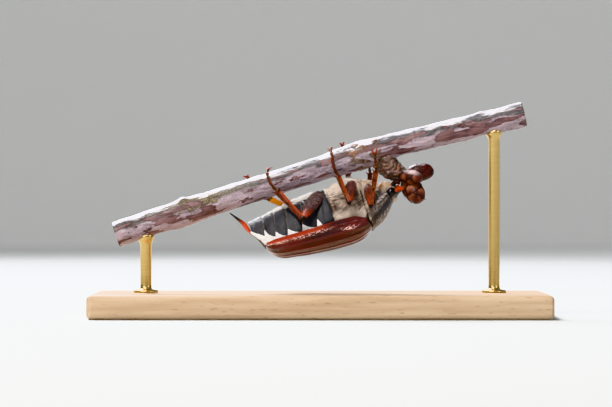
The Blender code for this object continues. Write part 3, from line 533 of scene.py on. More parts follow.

# %% [markdown]
# ### Bark
# Young cherry bark is a thin, smooth, waxy skin. Its top side is silver white with wax, and that white is
# partly painted light from above. The flanks are lilac grey, painted darker just under the top and lighter
# underneath as light falls, and long brown-red patches run round and along it where the skin has rubbed
# off, with short cork pores. height is 1 on the sky side and -1 below, old is 1 on the rough, flaky stretch
# and the spur, and ochre is 1 where the flecks turn yellowish.

# %% Bark finish
bark = Finish("bark, waxy cherry", Roughness=0.5, IOR=1.5)
bark.start("#73636b", "#9f8d95", bark.spots(1.3, (0.35, 1, 1), 4.0))
bark.over("#b5a4ad", bark.add("product", bark.spots(0.22, (0.8, 1, 1), 4.0, 0.4, 0.62), 0.35))
# painted light: lighter underneath, as lit from the floor, and darker on the upper flank below the top
bark.over("#9b8991", "height", -0.4, -0.95, 0.0, 0.6)
bark.over("#65555c", "height", -0.1, 0.5, 0.0, 0.55)
band_edge = bark.add("sum", "height", bark.spots(1.2, (0.25, 1, 1), 4.0, 0.3, 0.7, -0.22, 0.22))
flecked = bark.add("range", bark.add("sum", band_edge, bark.add("product", "ochre", 0.22)), 0.1, 0.3)
flecks = bark.spots(0.14, (1, 1, 0.35), 3.0, 0.4, 0.62)
bark.over(bark.add("mix", flecks, "#3a3234", bark.add("mix", "ochre", "#483f44", "#77653a")), flecked)
off_the_top = bark.add("range", "height", 0.75, 0.45)
scallops = bark.add("product", bark.spots(1.4, (0.26, 1.0, 1.0), 5.0, 0.3, 0.7), off_the_top)
rubbed = bark.add("range", scallops, 0.56, 0.6)
rubbed_skin = bark.add("mix", bark.spots(0.7, (0.25, 1, 1), 4.0), "#4b2f31", "#705152")
bark.over(bark.add("mix", bark.add("range", scallops, 0.68, 0.58, 0.0, 0.8), rubbed_skin, "#46211f"), rubbed)
bark.over("#3a2c30", bark.spots(0.45, (0.35, 1.6, 1), 2.0, 0.66, 0.7))  # pores
print("smooth bark takes", len(bark.tree.nodes), "nodes")

# %% [markdown]
# ### Old bark and wax
# Where the bark is old it breaks up in dark, rust-brown and grey flakes. On the smooth part a white bloom of
# wax, which is partly painted light from above, lies over the rest along the top, so it is laid on last.

# %% Old bark and wax
flakes = bark.spots(0.5, (1, 1, 0.35), 5.0, 0.3, 0.7)
rough_bark = bark.add("mix", flakes, "#251b17", "#7c6658")
rough_bark = bark.add("mix", bark.spots(0.55, (1.2, 1, 0.3), 3.0, 0.5, 0.66, 0.0, 0.8), rough_bark, "#85492a")
rough_bark = bark.add("mix", bark.spots(1.3, (1, 1, 1), 3.0, 0.5, 0.62, 0.0, 0.7), rough_bark, "#6b5e58")
bark.over(rough_bark, "old", 0.2, 0.8)
# wax along the top, partly painted light from above
wax_and_painted_top_light = bark.add("mix", bark.spots(0.4, (0.4, 1, 1), 3.0), "#a59fa5", "#cdc8cc")
off_old = bark.add("range", "old", 0.6, 0.2)
bark.over(wax_and_painted_top_light, bark.add("product", bark.add("range", band_edge, 0.62, 0.8), off_old))
relief = bark.add("difference", bark.spots(0.5, (0.4, 1, 1), 6.0, 0.2, 0.8), rubbed)
bark_finish = bark.done(bark.add("sum", relief, bark.add("product", flakes, "old")), 0.12)

# %% [markdown]
# ### Cut wood, buds and stand
# The twig's ends are sawn: pale wood with a bark rim and a brown pith. Bud scales are dry, leathery and
# varnished with resin, dark red-brown, paler on their middles and darkest at their rims. One bud has a pale
# grey sheen on its upper side, which is a painted reflection of the sky. The stand is oiled beech, whose
# grain has short dark flecks, with rods of satin brass.

# %% Wood and bud finishes
cut = Finish("cut wood, sawn cherry", Roughness=0.7, IOR=1.5)
wood = cut.add("mix", cut.spots(0.3), "#d9b98c", "#c79f70")
wood = cut.add("mix", cut.add("range", "radius", 0.86, 0.94), wood, "#6b4536")
cut.start("#7c4f31", wood, "radius", 0.1, 0.22)
cut_finish = cut.done(cut.spots(0.25, (1, 1, 1), 4.0), 0.05)

husk = Finish(
    "bud scale, varnished red-brown", Roughness=0.42, IOR=1.5, Specular_IOR_Level=0.22, Coat_Weight=0.04,
    Coat_Roughness=0.2)
husk.start("#230907", "#461510", husk.spots(0.9, (1, 1, 1)))
husk.over("#b8765c", "pale", 0.0, 1.0)
husk.over("#1c0807", "rim", 0.55, 1.0, 0.0, 0.85)
# a painted reflection of the sky on the upper side of one bud
husk.over("#dcc4c6", "bloom")
bud_finish = husk.done(husk.spots(0.35, (1, 1, 1), 4.0), 0.04)

beech = Finish("stand base, oiled beech", Roughness=0.42, IOR=1.5)
fibres = beech.grain((60, 900, 900), 5.0)
beech.start("#a88c70", "#bda488", fibres, 0.3, 0.7)
beech.over("#86684b", beech.grain((500, 2600, 2600), 2.0), 0.62, 0.7, 0.0, 0.5)
beech_finish = beech.done(fibres, 0.05)

brass = Finish("stand rod, satin brass", Metallic=1.0, Roughness=0.3)
strokes = brass.grain((400, 400, 5000), 2.0)
brass.start("#b79a5e", "#cbb07a", strokes)
brass_finish = brass.done(strokes, 0.01)

# %% [markdown]
# ## The body
# The breast and the belly are one skin, so that no seam shows between them. It is drawn as rings, and
# each ring has three anchors: where it crosses the belly, the line under the wing case, and the back. The
# rings bend, as the real seams between the plates do. A plate starts low at its front, where it comes out
# from under the one before it, and ends in a rim that stands over the next.

# %% Lines of the body
BACK_LINE = (
    (-9.2, 1.7), (-8.3, 2.75), (-7.4, 3.4), (-4.3, 4.15), (-1.3, 4.5), (3.0, 4.75), (7.1, 4.4), (9.1, 3.5),
)
EDGE_LINE = ((-9.2, 0.55), (-7.5, 0.6), (-2.4, 0.55), (4.7, 0.4), (7.0, 0.6), (9.0, 1.3))
CASE_HALF_WIDTH = ((-9.4, 3.9), (-8.2, 5.0), (-6.2, 5.9), (-3.0, 6.3), (2.0, 6.2), (6.5, 5.8), (9.0, 5.0))
BELLY_LINE = (
    (-10.9, -3.4), (-8.0, -3.8), (-5.8, -4.15), (-1.7, -4.8), (2.7, -5.15), (5.9, -5.6), (7.4, -5.85),
    (9.3, -5.5),
)
ROUNDNESS = 0.88
WALL_INSET = 0.95  # body wall below the outside of the wing cases
REAR_BOW = 0.7  # how far the last rim bends back, most at a third of its height
SEAMS = (
    # where each seam crosses the belly, the wing case's edge and the back, from the front
    (9.0, 9.0, 9.0), (6.2, 6.3, 6.5), (3.3, 3.7, 4.1), (1.6, 0.3, -0.3), (-1.2, -2.2, -2.4),
    (-3.9, -4.7, -4.6), (-6.0, -6.8, -6.2), (-8.0, -8.6, -7.6), (-10.5, -8.95, -7.9),
)
FIRST_PLATE = 2  # number of the first seam that has a plate behind it
STEP, BULGE, COAT_DEPTH = 0.17, 0.06, 0.16


def body_ring(seam, turn):
    """Points of the body's ring at that (fractional) seam, before plates and coat."""
    numbers = np.arange(len(SEAMS))
    columns = (along(np.stack([numbers, column], axis=1), seam)[:, None] for column in np.array(SEAMS).T)
    belly_x, edge_x, back_x = columns
    bottom = np.stack([belly_x, along(BELLY_LINE, belly_x)], axis=-1)
    edge = np.stack([edge_x, along(EDGE_LINE, edge_x)], axis=-1)
    top = np.stack([back_x, along(BACK_LINE, back_x) - WALL_INSET], axis=-1)
    lower = np.cos(turn) < 0
    rise = np.where(lower, np.cos(turn), signed_power(np.cos(turn), ROUNDNESS))[None, :, None]
    middle = np.where(rise >= 0, edge + (top - edge) * rise, edge + (edge - bottom) * rise)
    half_width = along(CASE_HALF_WIDTH, edge_x) - WALL_INSET
    side = half_width * np.where(lower, np.sin(turn), signed_power(np.sin(turn), ROUNDNESS))
    x, z = middle[..., 0], middle[..., 1]
    height = (z - z.min(axis=1, keepdims=True)) / np.ptp(z, axis=1)[:, None]
    last = smooth(seam, len(SEAMS) - 2.0, len(SEAMS) - 1.0)[:, None]
    bowed = x - REAR_BOW * last * bell(height, 0.33, 0.2)
    side = side * (along(CASE_HALF_WIDTH, bowed) - WALL_INSET) / (along(CASE_HALF_WIDTH, x) - WALL_INSET)
    return np.stack([bowed, side, z], axis=-1)


print("belly from", BELLY_LINE[0][0], "to", BELLY_LINE[-1][0], "mm, in", len(SEAMS) - 1, "stretches")

# %% [markdown]
# ### The body's skin
# Each stretch between two seams has rows at the same shares of its length, packed close at both ends,
# where the skin steps to the next plate. The breast lies a little lower, to leave room for its coat.

# %% The body's skin
WITHIN_PLATE = np.array(
    (0.004, 0.03, 0.07, 0.13, 0.2, 0.3, 0.4, 0.5, 0.6, 0.7, 0.8, 0.87, 0.92, 0.955, 0.98, 0.996))
BODY_AROUND = 180
body_seams = np.concatenate([number + WITHIN_PLATE for number in range(len(SEAMS) - 1)])
seam = body_seams[:, None]
bare = body_ring(body_seams, full_turn(BODY_AROUND))
x_of, z_of = bare[..., 0], bare[..., 2]
plate, inside = np.divmod(seam, 1.0)
is_plate, first = plate >= FIRST_PLATE, plate == FIRST_PLATE
step_out = STEP * (smooth(inside, 0.0, 0.3) - 1) + BULGE * np.sin(np.pi * inside)
step_out = step_out - STEP * smooth(inside, 0.975, 1.0)
on_coat = smooth(FIRST_PLATE - seam, -0.001, 0.02)
lift = np.where(is_plate, step_out, -COAT_DEPTH * on_coat)
print("the plates step out by up to", step_out.max().round(3), "mm")

# %% [markdown]
# ### Hind hips
# The hind hip is a flat plate of its own. It covers the front of the first belly plate, from the belly to a
# round end near the wing case, so it is drawn as a step in the skin. ripple() then makes all of it uneven.

# %% The hind hips and the skin's relief
HIP_REAR, HIP_END, HIP_ROUND, HIP_RISE = 0.58, 0.25, 0.9, 0.16
to_rear = (HIP_REAR - inside) * 4.0
to_end = HIP_END - z_of - 0.45 * (to_rear - 1.2)
inside_hip = -np.log(np.exp(-to_rear / HIP_ROUND * 2) + np.exp(-to_end / HIP_ROUND * 2)) * HIP_ROUND / 2
hip_step = np.where(first, HIP_RISE * smooth(inside_hip, 0.0, 0.12) - 0.1, 0.0)
lift = lift + hip_step * smooth(inside, 0.0, 0.1)
rough = ripple(bare, 1.3, 11) * 0.03 + ripple(bare, 0.5, 12) * 0.012
rough = rough + on_coat * 0.03 * ripple(bare * (0.2, 1, 1), 0.45, 13)
body_rings = pushed(bare, lift + rough)
print("the hip stands out by", hip_step.max().round(2), "mm")

# %% [markdown]
# ### White corners
# The white spots down the side tell this beetle at a glance. For each plate a table says how high the white
# stands over the wing case's edge, at the plate's front and at its rear. The other marks are the thin rims,
# the black lines, with painted shade in the gap at the front of the breast, and the coat's colour.

# %% Marks of the body's skin
WHITE_HEIGHTS = {
    2: (-0.3, 1.3), 3: (0.1, 1.3), 4: (0.08, 1.25), 5: (0.17, 1.45), 6: (0.6, 2.2), 7: (1.15, 2.6),
}
corner_top = -9.0
for number, (at_front, at_rear) in WHITE_HEIGHTS.items():
    along_plate = inside if number != FIRST_PLATE else smooth(inside, 0.45, 1.0)
    corner_top = np.where(plate == number, at_front + (at_rear - at_front) * along_plate**1.8, corner_top)
white = z_of - along(EDGE_LINE, x_of) + corner_top
white = np.where(is_plate & ~(first & (inside_hip > 0)), white, -1.0)
rim = smooth(inside, 0.93, 0.975) * is_plate * smooth(-body_rings[..., 2], -0.5, 1.0) * (1 - first)
black = np.maximum(bell(inside, 0.01, 0.05) * is_plate, first * bell(inside_hip, -0.06, 0.1))
# painted shade: black in the gap behind the shield, at the front of the breast, in place of the coat
painted_gap_shade = (1 - smooth(seam, 0.06, 0.2)) * (0.25 + 0.75 * smooth(z_of, -4.4, -2.6))
black = np.maximum(black, painted_gap_shade)
coat = on_coat * (1 - painted_gap_shade)
print("white covers", round(float((white > 0).mean()) * 100), "% of the points")

# %% [markdown]
# ### Rear end
# A few smaller and smaller rings close the rear end. The whole skin is then cast as one piece, in place of
# the solid breast and belly.

# %% The rear end, and casting
# size of each ring, and its way back
CLOSING = ((0.97, 0.08), (0.9, 0.13), (0.6, 0.16), (0.2, 0.17))
end = body_rings[-1]
closing = [end.mean(axis=0) + (end - end.mean(axis=0)) * s + (-d, 0, 0.3 * d) for s, d in CLOSING]
marks = {"white": (white, -1.0), "rim": (rim, 0.0), "black": (black, 1.0), "coat": (coat, 0.0)}
marks = {name: np.concatenate([rows, np.full((len(closing), BODY_AROUND), last)])
         for name, (rows, last) in marks.items()}
Mould().on_body(np.concatenate([body_rings, closing]), **marks).cast(
    "body_skin", plate_finish, "dark_plate", "breast", "abdomen")

# %% [markdown]
# ## Wing cases
# Each wing case is a thin shell with five ribs between the raised seam and the outer edge. The rings idea
# works here too: columns run from the seam, round to the outer edge, and rows from front to rear. A rib
# is a soft ridge added along the normal, and Solidify gives the shell its thickness inwards, so the
# outside keeps its size.

# %% The wing cases
GAP = 0.3
CASE_FRONT, CASE_REAR, CASE_REAR_AT = 9.0, -8.85, 0.72
CASE_BENDS = (1.6, 5.0, 2.2)  # how fast the rear curves away inside and outside, and the shoulder
SHOULDER_AT = 0.55
RIBS = ((0.0, 0.022), (0.2, 0.024), (0.4, 0.024), (0.6, 0.024), (0.76, 0.022), (0.91, 0.022), (1.0, 0.014))
RIB_HEIGHT, SHOULDER_HEIGHT, REAR_HUMP_HEIGHT = 0.13, 0.42, 0.12
CASE_THICKNESS = 0.4
NEAREST_TO_MIDDLE = 0.05


def case_surface(arc, share):
    """Outside of the left wing case at shares of its arc, in a row, and of its length, in a column."""
    turn = np.linspace(0, math.pi / 2, 400)
    y = along(CASE_HALF_WIDTH, 0) * np.sin(turn) ** ROUNDNESS
    z = (along(BACK_LINE, 0) - along(EDGE_LINE, 0)) * np.cos(turn) ** ROUNDNESS
    length = np.concatenate([[0], np.cumsum(np.hypot(np.diff(y), np.diff(z)))])
    turns = np.interp(arc, length / length[-1], turn)
    inner_bend, outer_bend, shoulder_bend = CASE_BENDS
    rear = CASE_REAR + np.where(arc < CASE_REAR_AT, inner_bend, outer_bend) * (arc - CASE_REAR_AT) ** 2
    front = CASE_FRONT - shoulder_bend * np.maximum(0, arc - SHOULDER_AT) ** 2
    x = front + share * (rear - front)
    half_width, edge, back = along(CASE_HALF_WIDTH, x), along(EDGE_LINE, x), along(BACK_LINE, x)
    y = GAP / 2 + (half_width - GAP / 2) * np.sin(turns) ** ROUNDNESS
    z = edge + (back - edge) * np.cos(turns) ** ROUNDNESS
    return np.stack([x, y, z], axis=2)


print("a wing case is", CASE_FRONT - CASE_REAR, "mm long")

# %% [markdown]
# ### Ribs
# The ribs, the shoulder and the hump at the rear are ridges that are added along the normal. The same
# curves become marks, so the lines in the finish run exactly beside the ribs.

# %% Ribs of the wing cases
arc = np.linspace(0, 1, 150)
share = (np.linspace(0, 0.06, 9), np.linspace(0.07, 0.93, 80), np.linspace(0.94, 1, 9))  # finer at both ends
share = np.concatenate(share)[:, None]
case_grid = case_surface(arc, share)
case_normal = unit(np.cross(np.gradient(case_grid, axis=1), np.gradient(case_grid, axis=0)))
fade = smooth(np.minimum(share, 1 - share), 0.0, 0.12)
rib = fade * np.max([bell(arc, place, width) for place, width in RIBS], axis=0)
# painted shade in thin lines beside each rib, and along the front end
furrow = fade * np.max([bell(arc, place + 1.9 * width, width * 0.5) for place, width in RIBS], axis=0)
furrow = np.maximum(furrow, 1 - smooth(share, 0.004, 0.03))
hump = SHOULDER_HEIGHT * (bell(share, 0.16, 0.1) * bell(arc, 0.8, 0.075))
hump += REAR_HUMP_HEIGHT * (bell(share, 0.93, 0.035) * bell(arc, 0.5, 0.14))
roll_in = -0.1 * smooth(np.abs(share - 0.5), 0.485, 0.5)
uneven = ripple(case_grid * (0.5, 1, 1), 1.4, 21) * 0.012
case_points = case_grid + case_normal * (RIB_HEIGHT * rib + hump + roll_in + uneven)[..., None]
case_points[..., 1] = np.maximum(case_points[..., 1], NEAREST_TO_MIDDLE)
edge_mark = smooth(arc, 0.915, 0.945) * smooth(share, 0.2, 0.6)
# where pale specks are painted as highlights, and the pits are deeper
sparkle = 1.5 * bell(arc, 0.9, 0.035) * smooth(share, 0.25, 0.45)
sparkle += 1.5 * bell(arc, 0.83, 0.04) * bell(share, 0.2, 0.08)
dusty = (0.2 + 0.6 * smooth(arc, 0.75, 0.35)) * (0.8 + 0.2 * smooth(share, 0.6, 1.0))
print("the ribs stand up to", (RIB_HEIGHT * rib.max()).round(3), "mm high")

# %% [markdown]
# ### Both wing cases
# The right one is the left one mirrored. Its columns are turned round, so that its faces still look out.

# %% Both wing cases
for side, side_name in SIDES:
    order = slice(None, None, side)
    marks = {"rib": rib, "edge": edge_mark, "dusty": dusty, "furrow": furrow, "sparkle": sparkle}
    marks = {name: mark[:, order] for name, mark in marks.items()}
    Mould().on_body((case_points * (1, side, 1))[:, order], closed=False, **marks).cast(
        f"wing_case_{side_name}_shell", wing_case_finish, "wing_case", f"wing_case_{side_name}",
        thickness=CASE_THICKNESS)

# %% [markdown]
# ## Front shield and scutellum
# The front ring of the body is a shield over the back and a hairy seat for the front legs below. A thin
# bead runs round its side, and another along its rear edge.

# %% Lines of the front shield
SHIELD_TOP = ((9.3, 3.4), (10.9, 2.75), (12.3, 1.6), (13.2, 0.5), (13.8, -0.3))
SHIELD_BOTTOM = ((9.3, -5.1), (10.0, -5.0), (10.8, -4.7), (11.4, -4.3), (11.9, -3.7))
SHIELD_HALF_WIDTH = (5.15, 5.35, 4.8, 3.9, 3.0)
SHIELD_WIDEST, SHIELD_ROUNDNESS_BELOW, SHIELD_ROWS = 0.58, 2.1, 56
STRIPE_AT, STRIPE_SLOPE = (10.6, 1.3), -0.69  # the bare dark stripe along the shield's side
ring_turn = full_turn(160)


def ovals(top_line, bottom_line, half_widths, widest, rows, lower=1.0):
    """Rings between two lines of (x, z) points, widest at that share of their height."""
    power = np.where(np.cos(ring_turn) >= 0, ROUNDNESS, lower)
    rise, out = signed_power(np.cos(ring_turn), power)[:, None], signed_power(np.sin(ring_turn), power)
    rings = []
    widths = evenly(half_widths, np.linspace(0, 1, rows))
    for top, bottom, half_width in zip(smooth_path(top_line, rows), smooth_path(bottom_line, rows), widths):
        level = bottom + widest * (top - bottom)
        middle = level + np.where(rise >= 0, (top - level) * rise, (level - bottom) * rise)
        rings.append(np.stack([middle[:, 0], half_width * out, middle[:, 1]], axis=1))
    return np.stack(rings)


def closed_ends(rings, front, rear):
    """Rings with more rings at each end that close it softly. front and rear are how far they stand out."""
    def cap(ring, out):
        middle = ring.mean(axis=0)
        return [middle + (ring - middle) * size + np.array((out, 0, 0)) * math.sqrt(1 - size * size)
                for size in (0.97, 0.85, 0.5, 0.1)]
    return np.concatenate([cap(rings[0], rear)[::-1], rings, cap(rings[-1], front)])


def off_stripe(points):
    """How far points of the shield lie above or below its dark stripe."""
    return np.abs(points[..., 2] - (STRIPE_AT[1] + STRIPE_SLOPE * (points[..., 0] - STRIPE_AT[0])))


print("the shield is", 2 * max(SHIELD_HALF_WIDTH), "mm wide")

# %% [markdown]
# ### Relief of the shield
# The beads are soft ridges with a groove beside them. Down covers the shield, except on the dark stripe
# along its side, so the mark coat is taken from the distance to that stripe.

# %% The front shield
shield = ovals(
    SHIELD_TOP, SHIELD_BOTTOM, SHIELD_HALF_WIDTH, SHIELD_WIDEST, SHIELD_ROWS, SHIELD_ROUNDNESS_BELOW)
off_side = np.abs(np.degrees(ring_turn) % 180 - 90)
side_bead = 0.16 * bell(off_side, 0, 3.0) - 0.1 * bell(off_side, 7, 3.0)
hind_bead = 0.1 * bell(np.linspace(0, 1, SHIELD_ROWS), 0.02, 0.03)[:, None]
shield_skin = pushed(shield, side_bead + hind_bead - 0.05 + ripple(shield, 0.8, 31) * 0.02)
shield_closed = closed_ends(shield_skin, 0.3, -0.6)
shield_down = 0.35 * smooth(off_stripe(shield_closed), 0.25, 0.7)
Mould().on_body(shield_closed, black=0.35 - shield_down * 0.5, coat=shield_down, white=-1.0).cast(
    "front_shield_shell", plate_finish, "dark_plate", "front_shield")

# %% [markdown]
# ### Scutellum
# The scutellum is the small plate between the wing cases' roots. It is a flat tube whose width follows an
# outline, round in front and pointed behind.

# %% The scutellum
SCUTELLUM_OUTLINE = ((0.0, 0.85), (0.12, 1.0), (0.4, 0.95), (0.7, 0.72), (0.92, 0.38), (1.0, 0.12))
SCUTELLUM_LENGTH, SCUTELLUM_HALF_WIDTH, SCUTELLUM_HALF_THICKNESS = 2.5, 1.35, 0.35
shares = np.linspace(0, 1, 28)
x = CASE_FRONT - shares * SCUTELLUM_LENGTH
path = np.stack([x, 0 * x, along(BACK_LINE, x) - SCUTELLUM_HALF_THICKNESS], axis=1)
widths = SCUTELLUM_HALF_WIDTH * along(SCUTELLUM_OUTLINE, shares)
scutellum = sections_on(path, widths, SCUTELLUM_HALF_THICKNESS, (0, 1, 0), around=40)
Mould().on_body(scutellum, black=0.3, white=-1.0).cast(
    "scutellum_plate", plate_finish, "dark_plate", "scutellum")

# %% [markdown]
# ## Head
# The head is small and mostly under the shield. Its front is a broad lip with a turned-up rim, and a
# groove crosses it between the eyes. Below lie the mouth, the jaws and two jointed palps.

# %% The head
HEAD_TOP = ((12.3, -0.5), (13.3, -0.3), (14.3, -0.55), (14.95, -1.15), (15.4, -1.4), (15.65, -1.75))
HEAD_BOTTOM = ((11.5, -2.9), (12.2, -3.25), (13.1, -3.35), (14.0, -3.1), (14.8, -2.75), (15.25, -2.35))
HEAD_HALF_WIDTH = (2.1, 2.35, 2.35, 2.2, 2.0, 1.75)
HEAD_WIDEST, HEAD_ROWS = 0.55, 48
head = ovals(HEAD_TOP, HEAD_BOTTOM, HEAD_HALF_WIDTH, HEAD_WIDEST, HEAD_ROWS)
share = np.linspace(0, 1, HEAD_ROWS)[:, None]
upper = smooth(np.cos(ring_turn), -0.1, 0.3)
brow_groove = -0.1 * bell(share, 0.62, 0.03) * upper
lip_rim = 0.14 * bell(share, 0.97, 0.03) * upper
mouth = -0.35 * bell(share, 0.9, 0.03) * smooth(-np.cos(ring_turn), 0.2, 0.5)
head_skin = pushed(head, brow_groove + lip_rim + mouth + ripple(head, 0.5, 41) * 0.015)
head_mould = Mould().on_body(closed_ends(head_skin, 0.12, -0.02), black=0.85, white=-1.0)
for side, _ in SIDES:
    jaw = smooth_path(((14.3, 1.25 * side, -2.9), (14.9, 1.2 * side, -3.05), (15.4, 0.75 * side, -2.75)), 12)
    wide, deep = np.linspace(0.38, 0.08, 12), np.linspace(0.28, 0.06, 12)
    head_mould.on_body(sections_on(jaw, wide, deep, (0, 0, 1), around=14), black=1.0, white=-1.0)
head_mould.cast("head_shell", plate_finish, "dark_plate", "head")

# %% [markdown]
# ### Domes of the eyes
# The eyes are smooth domes, set half into the head. A ball of rings is made once, and also serves for the
# knuckles of the legs.

# %% Eyes
EYE_AT, EYE_RADIUS, EYE_SHAPE = (13.7, 2.25, -1.7), 0.85, (1.0, 0.94, 0.96)
latitude = np.linspace(-0.5 * math.pi, 0.5 * math.pi, 40)[1:-1, None]
longitude = full_turn(64)
dome = np.stack([
    np.cos(latitude) * np.cos(longitude), np.sin(latitude) + 0 * longitude,
    np.cos(latitude) * np.sin(longitude)], axis=-1)
for side, side_name in SIDES:
    ball = np.array(EYE_AT) * (1, side, 1) + dome * EYE_RADIUS * EYE_SHAPE
    Mould().on_body(ball).cast(f"eye_{side_name}_dome", eye_finish, "eye", f"eye_{side_name}")

# %% [markdown]
# ## Feelers and palps
# A feeler is a short bent stalk of beads, and six flat leaves that fold shut or open like a fan. Each
# leaf is a flattened tube, narrow at its root and round at its end. The fan is what tells this family of
# beetles. The palps below the mouth have three short joints.

# %% Lines of the feelers
FEELER_PATH = ((14.5, 1.35, -2.1), (14.95, 2.2, -2.4), (15.0, 3.0, -2.25), (14.85, 3.6, -2.0))
CLUB_DIRECTION, CLUB_SPREAD, CLUB_APART, LEAVES = (0.1, 1.0, 0.15), math.radians(11), 0.08, 6
LEAF_OUTLINE = ((0.0, 0.4), (0.15, 0.72), (0.35, 0.95), (0.6, 1.0), (0.8, 0.92), (0.92, 0.68), (1.0, 0.2))
LEAF_LENGTH, LEAF_HALF_WIDTH, LEAF_HALF_THICKNESS, LEAF_BOW = 1.95, 0.31, 0.12, 0.12
PALP_PATH = ((14.1, 0.8, -2.7), (14.5, 1.3, -3.2), (15.0, 1.6, -3.15), (15.5, 1.55, -2.7))


def stalk(path, count, beads, radius, waist, around):
    """A tube along the path with that many beads."""
    phase = np.linspace(0, beads, count, endpoint=False) % 1.0
    radii = radius * (waist + (1 - waist) * np.sin(np.pi * phase) ** 0.6)
    return tube(smooth_path(path, count), radii, (0, 0, 1), around)


def turned_about(axis, angle, way):
    """way turned by angle about a unit axis."""
    sine, cosine = math.sin(angle), math.cos(angle)
    return way * cosine + np.cross(axis, way) * sine + axis * (axis @ way) * (1 - cosine)


print(LEAVES, "leaves over", round(math.degrees(CLUB_SPREAD)), "degrees")

# %% [markdown]
# ### The fan
# All leaves turn about one hinge at the end of the stalk. The outer ones bow away from the middle, so the
# fan shows a gap between its leaves.

# %% Feelers and palps
middle = unit(np.array(CLUB_DIRECTION))
hinge = unit(np.cross(middle, (1.0, 0.0, 0.0)))
apart = np.cross(hinge, middle) * CLUB_APART
shares = np.linspace(0, 1, 20)
leaf_girth = along(LEAF_OUTLINE, shares)
for side, side_name in SIDES:
    mirror = np.array((1, side, 1))
    feeler = stalk(np.array(FEELER_PATH) * mirror, count=60, beads=5, radius=0.27, waist=0.7, around=18)
    mould = Mould().on_body(feeler, bright=0.35)
    for number in range(LEAVES):
        place_in_fan = number - (LEAVES - 1) / 2
        way = turned_about(hinge, place_in_fan / (LEAVES - 1) * CLUB_SPREAD, middle)
        root = np.array(FEELER_PATH[-1]) - middle * 0.25 + apart * place_in_fan
        bow = np.outer(LEAF_BOW * shares**2, np.cross(hinge, way) * place_in_fan)
        leaf = root + np.outer(shares * LEAF_LENGTH, way) + bow
        wide, deep = LEAF_HALF_WIDTH * leaf_girth, LEAF_HALF_THICKNESS * leaf_girth**0.3
        rings = sections_on(leaf * mirror, wide, deep, hinge * mirror, around=22)
        mould.on_body(rings, bright=0.6, dark=0.25 * smooth(shares, 0.75, 1.0))
    mould.cast(f"feeler_{side_name}_fan", leg_finish, "leg", f"feeler_{side_name}")
    palp = stalk(np.array(PALP_PATH) * mirror, count=45, beads=3, radius=0.25, waist=0.65, around=16)
    Mould().on_body(palp, dark=0.5).cast(f"palp_{side_name}_joints", leg_finish, "leg", f"palp_{side_name}")

# %% [markdown]
# ## Tail
# The last plate of the back comes out under the wing cases, arches round the body's end and is drawn out
# into a flat spike. It is grey and downy at its root, orange in the middle and almost black at the tip.

# %% The tail plate
TAIL_PATH = ((-8.75, 1.5), (-9.75, -0.6), (-10.85, -2.0), (-11.4, -3.45), (-12.3, -4.75), (-13.08, -5.8))
TAIL_HALF_WIDTH = (2.7, 3.0, 2.3, 1.0, 0.5, 0.22)
TAIL_HALF_THICKNESS = (0.26, 0.28, 0.24, 0.4, 0.24, 0.08)
TAIL_ARCH, TAIL_BEAD = 0.1, 0.05
path = smooth_path(TAIL_PATH, 64)
shares = np.linspace(0, 1, len(path))
wide, deep = evenly(TAIL_HALF_WIDTH, shares)[:, None], evenly(TAIL_HALF_THICKNESS, shares)[:, None]
ahead = unit(np.gradient(path, axis=0))
tail_turn = full_turn(72)
off_middle = np.abs(np.cos(tail_turn))
out = deep * np.sin(tail_turn) - TAIL_ARCH * wide * np.cos(tail_turn) ** 2
out += TAIL_BEAD * bell(off_middle, 0.93, 0.06)
tail = np.stack([
    path[:, :1] + ahead[:, 1:] * out, wide * np.cos(tail_turn), path[:, 1:] - ahead[:, :1] * out], axis=-1)
tail_grey = 1 - smooth(shares, 0.34, 0.44)
tail_edge = smooth(off_middle, 0.9, 0.97) * (1 - smooth(shares, 0.36, 0.46))[:, None]
tail_dark = np.maximum(smooth(shares, 0.68, 0.86)[:, None], tail_edge)
Mould().on_body(tail, grey=tail_grey, bright=0.8 * bell(shares, 0.58, 0.16), dark=tail_dark).cast(
    "tail_plate", leg_finish, "leg", "tail_spike")

# %% [markdown]
# ## Twig, spur and buds
# The perch is a piece of cherry twig, sawn off at both ends. Its axis rises to the right and bends a
# little where a short spur hangs from it, and the spur carries three fat buds.

# %% Line of the twig
TWIG_FROM, TWIG_TO, TWIG_HEIGHT, TWIG_RADIUS, TWIG_TAPER = -34.0, 34.0, 24.72, 2.0, 0.0035
TWIG_SLOPE, TWIG_SLOPE_BEYOND = math.tan(math.radians(17.9)), math.tan(math.radians(13.4))
TWIG_BEND_AT, TWIG_BEND_EASE = 11.5, 1.5
TWIG_SWELLINGS = (  # place, extra radius, half length
    (-22.3, 0.28, 2.2), (6.5, 0.35, 4.5), (33.0, 0.25, 3.0),
)
KNOTS = (  # place, turn from the viewer's side up, height, half width
    (-22.2, 60, 0.45, 0.8), (-31.6, 40, 0.35, 0.8), (-24.5, -70, 0.2, 0.7), (-3.0, 150, 0.15, 0.9),
    (20.5, 45, 0.18, 0.8), (27.0, 80, 0.22, 0.7),
)
RING_SCARS = (-28.6, -18.1, -9.4, 5.2, 15.8, 23.9, 30.2)


def twig_axis(x):
    """Height of the twig's middle line."""
    past = (np.asarray(x, float) - TWIG_BEND_AT) / TWIG_BEND_EASE
    eased = TWIG_BEND_EASE * (np.logaddexp(0, past) - np.logaddexp(0, -TWIG_BEND_AT / TWIG_BEND_EASE))
    return TWIG_HEIGHT + TWIG_SLOPE * np.asarray(x, float) + (TWIG_SLOPE_BEYOND - TWIG_SLOPE) * eased


def twig_radius(x):
    radius = TWIG_RADIUS - TWIG_TAPER * x
    for middle, extra, half_length in TWIG_SWELLINGS:
        radius = radius + extra * bell(x, middle, half_length)
    return radius


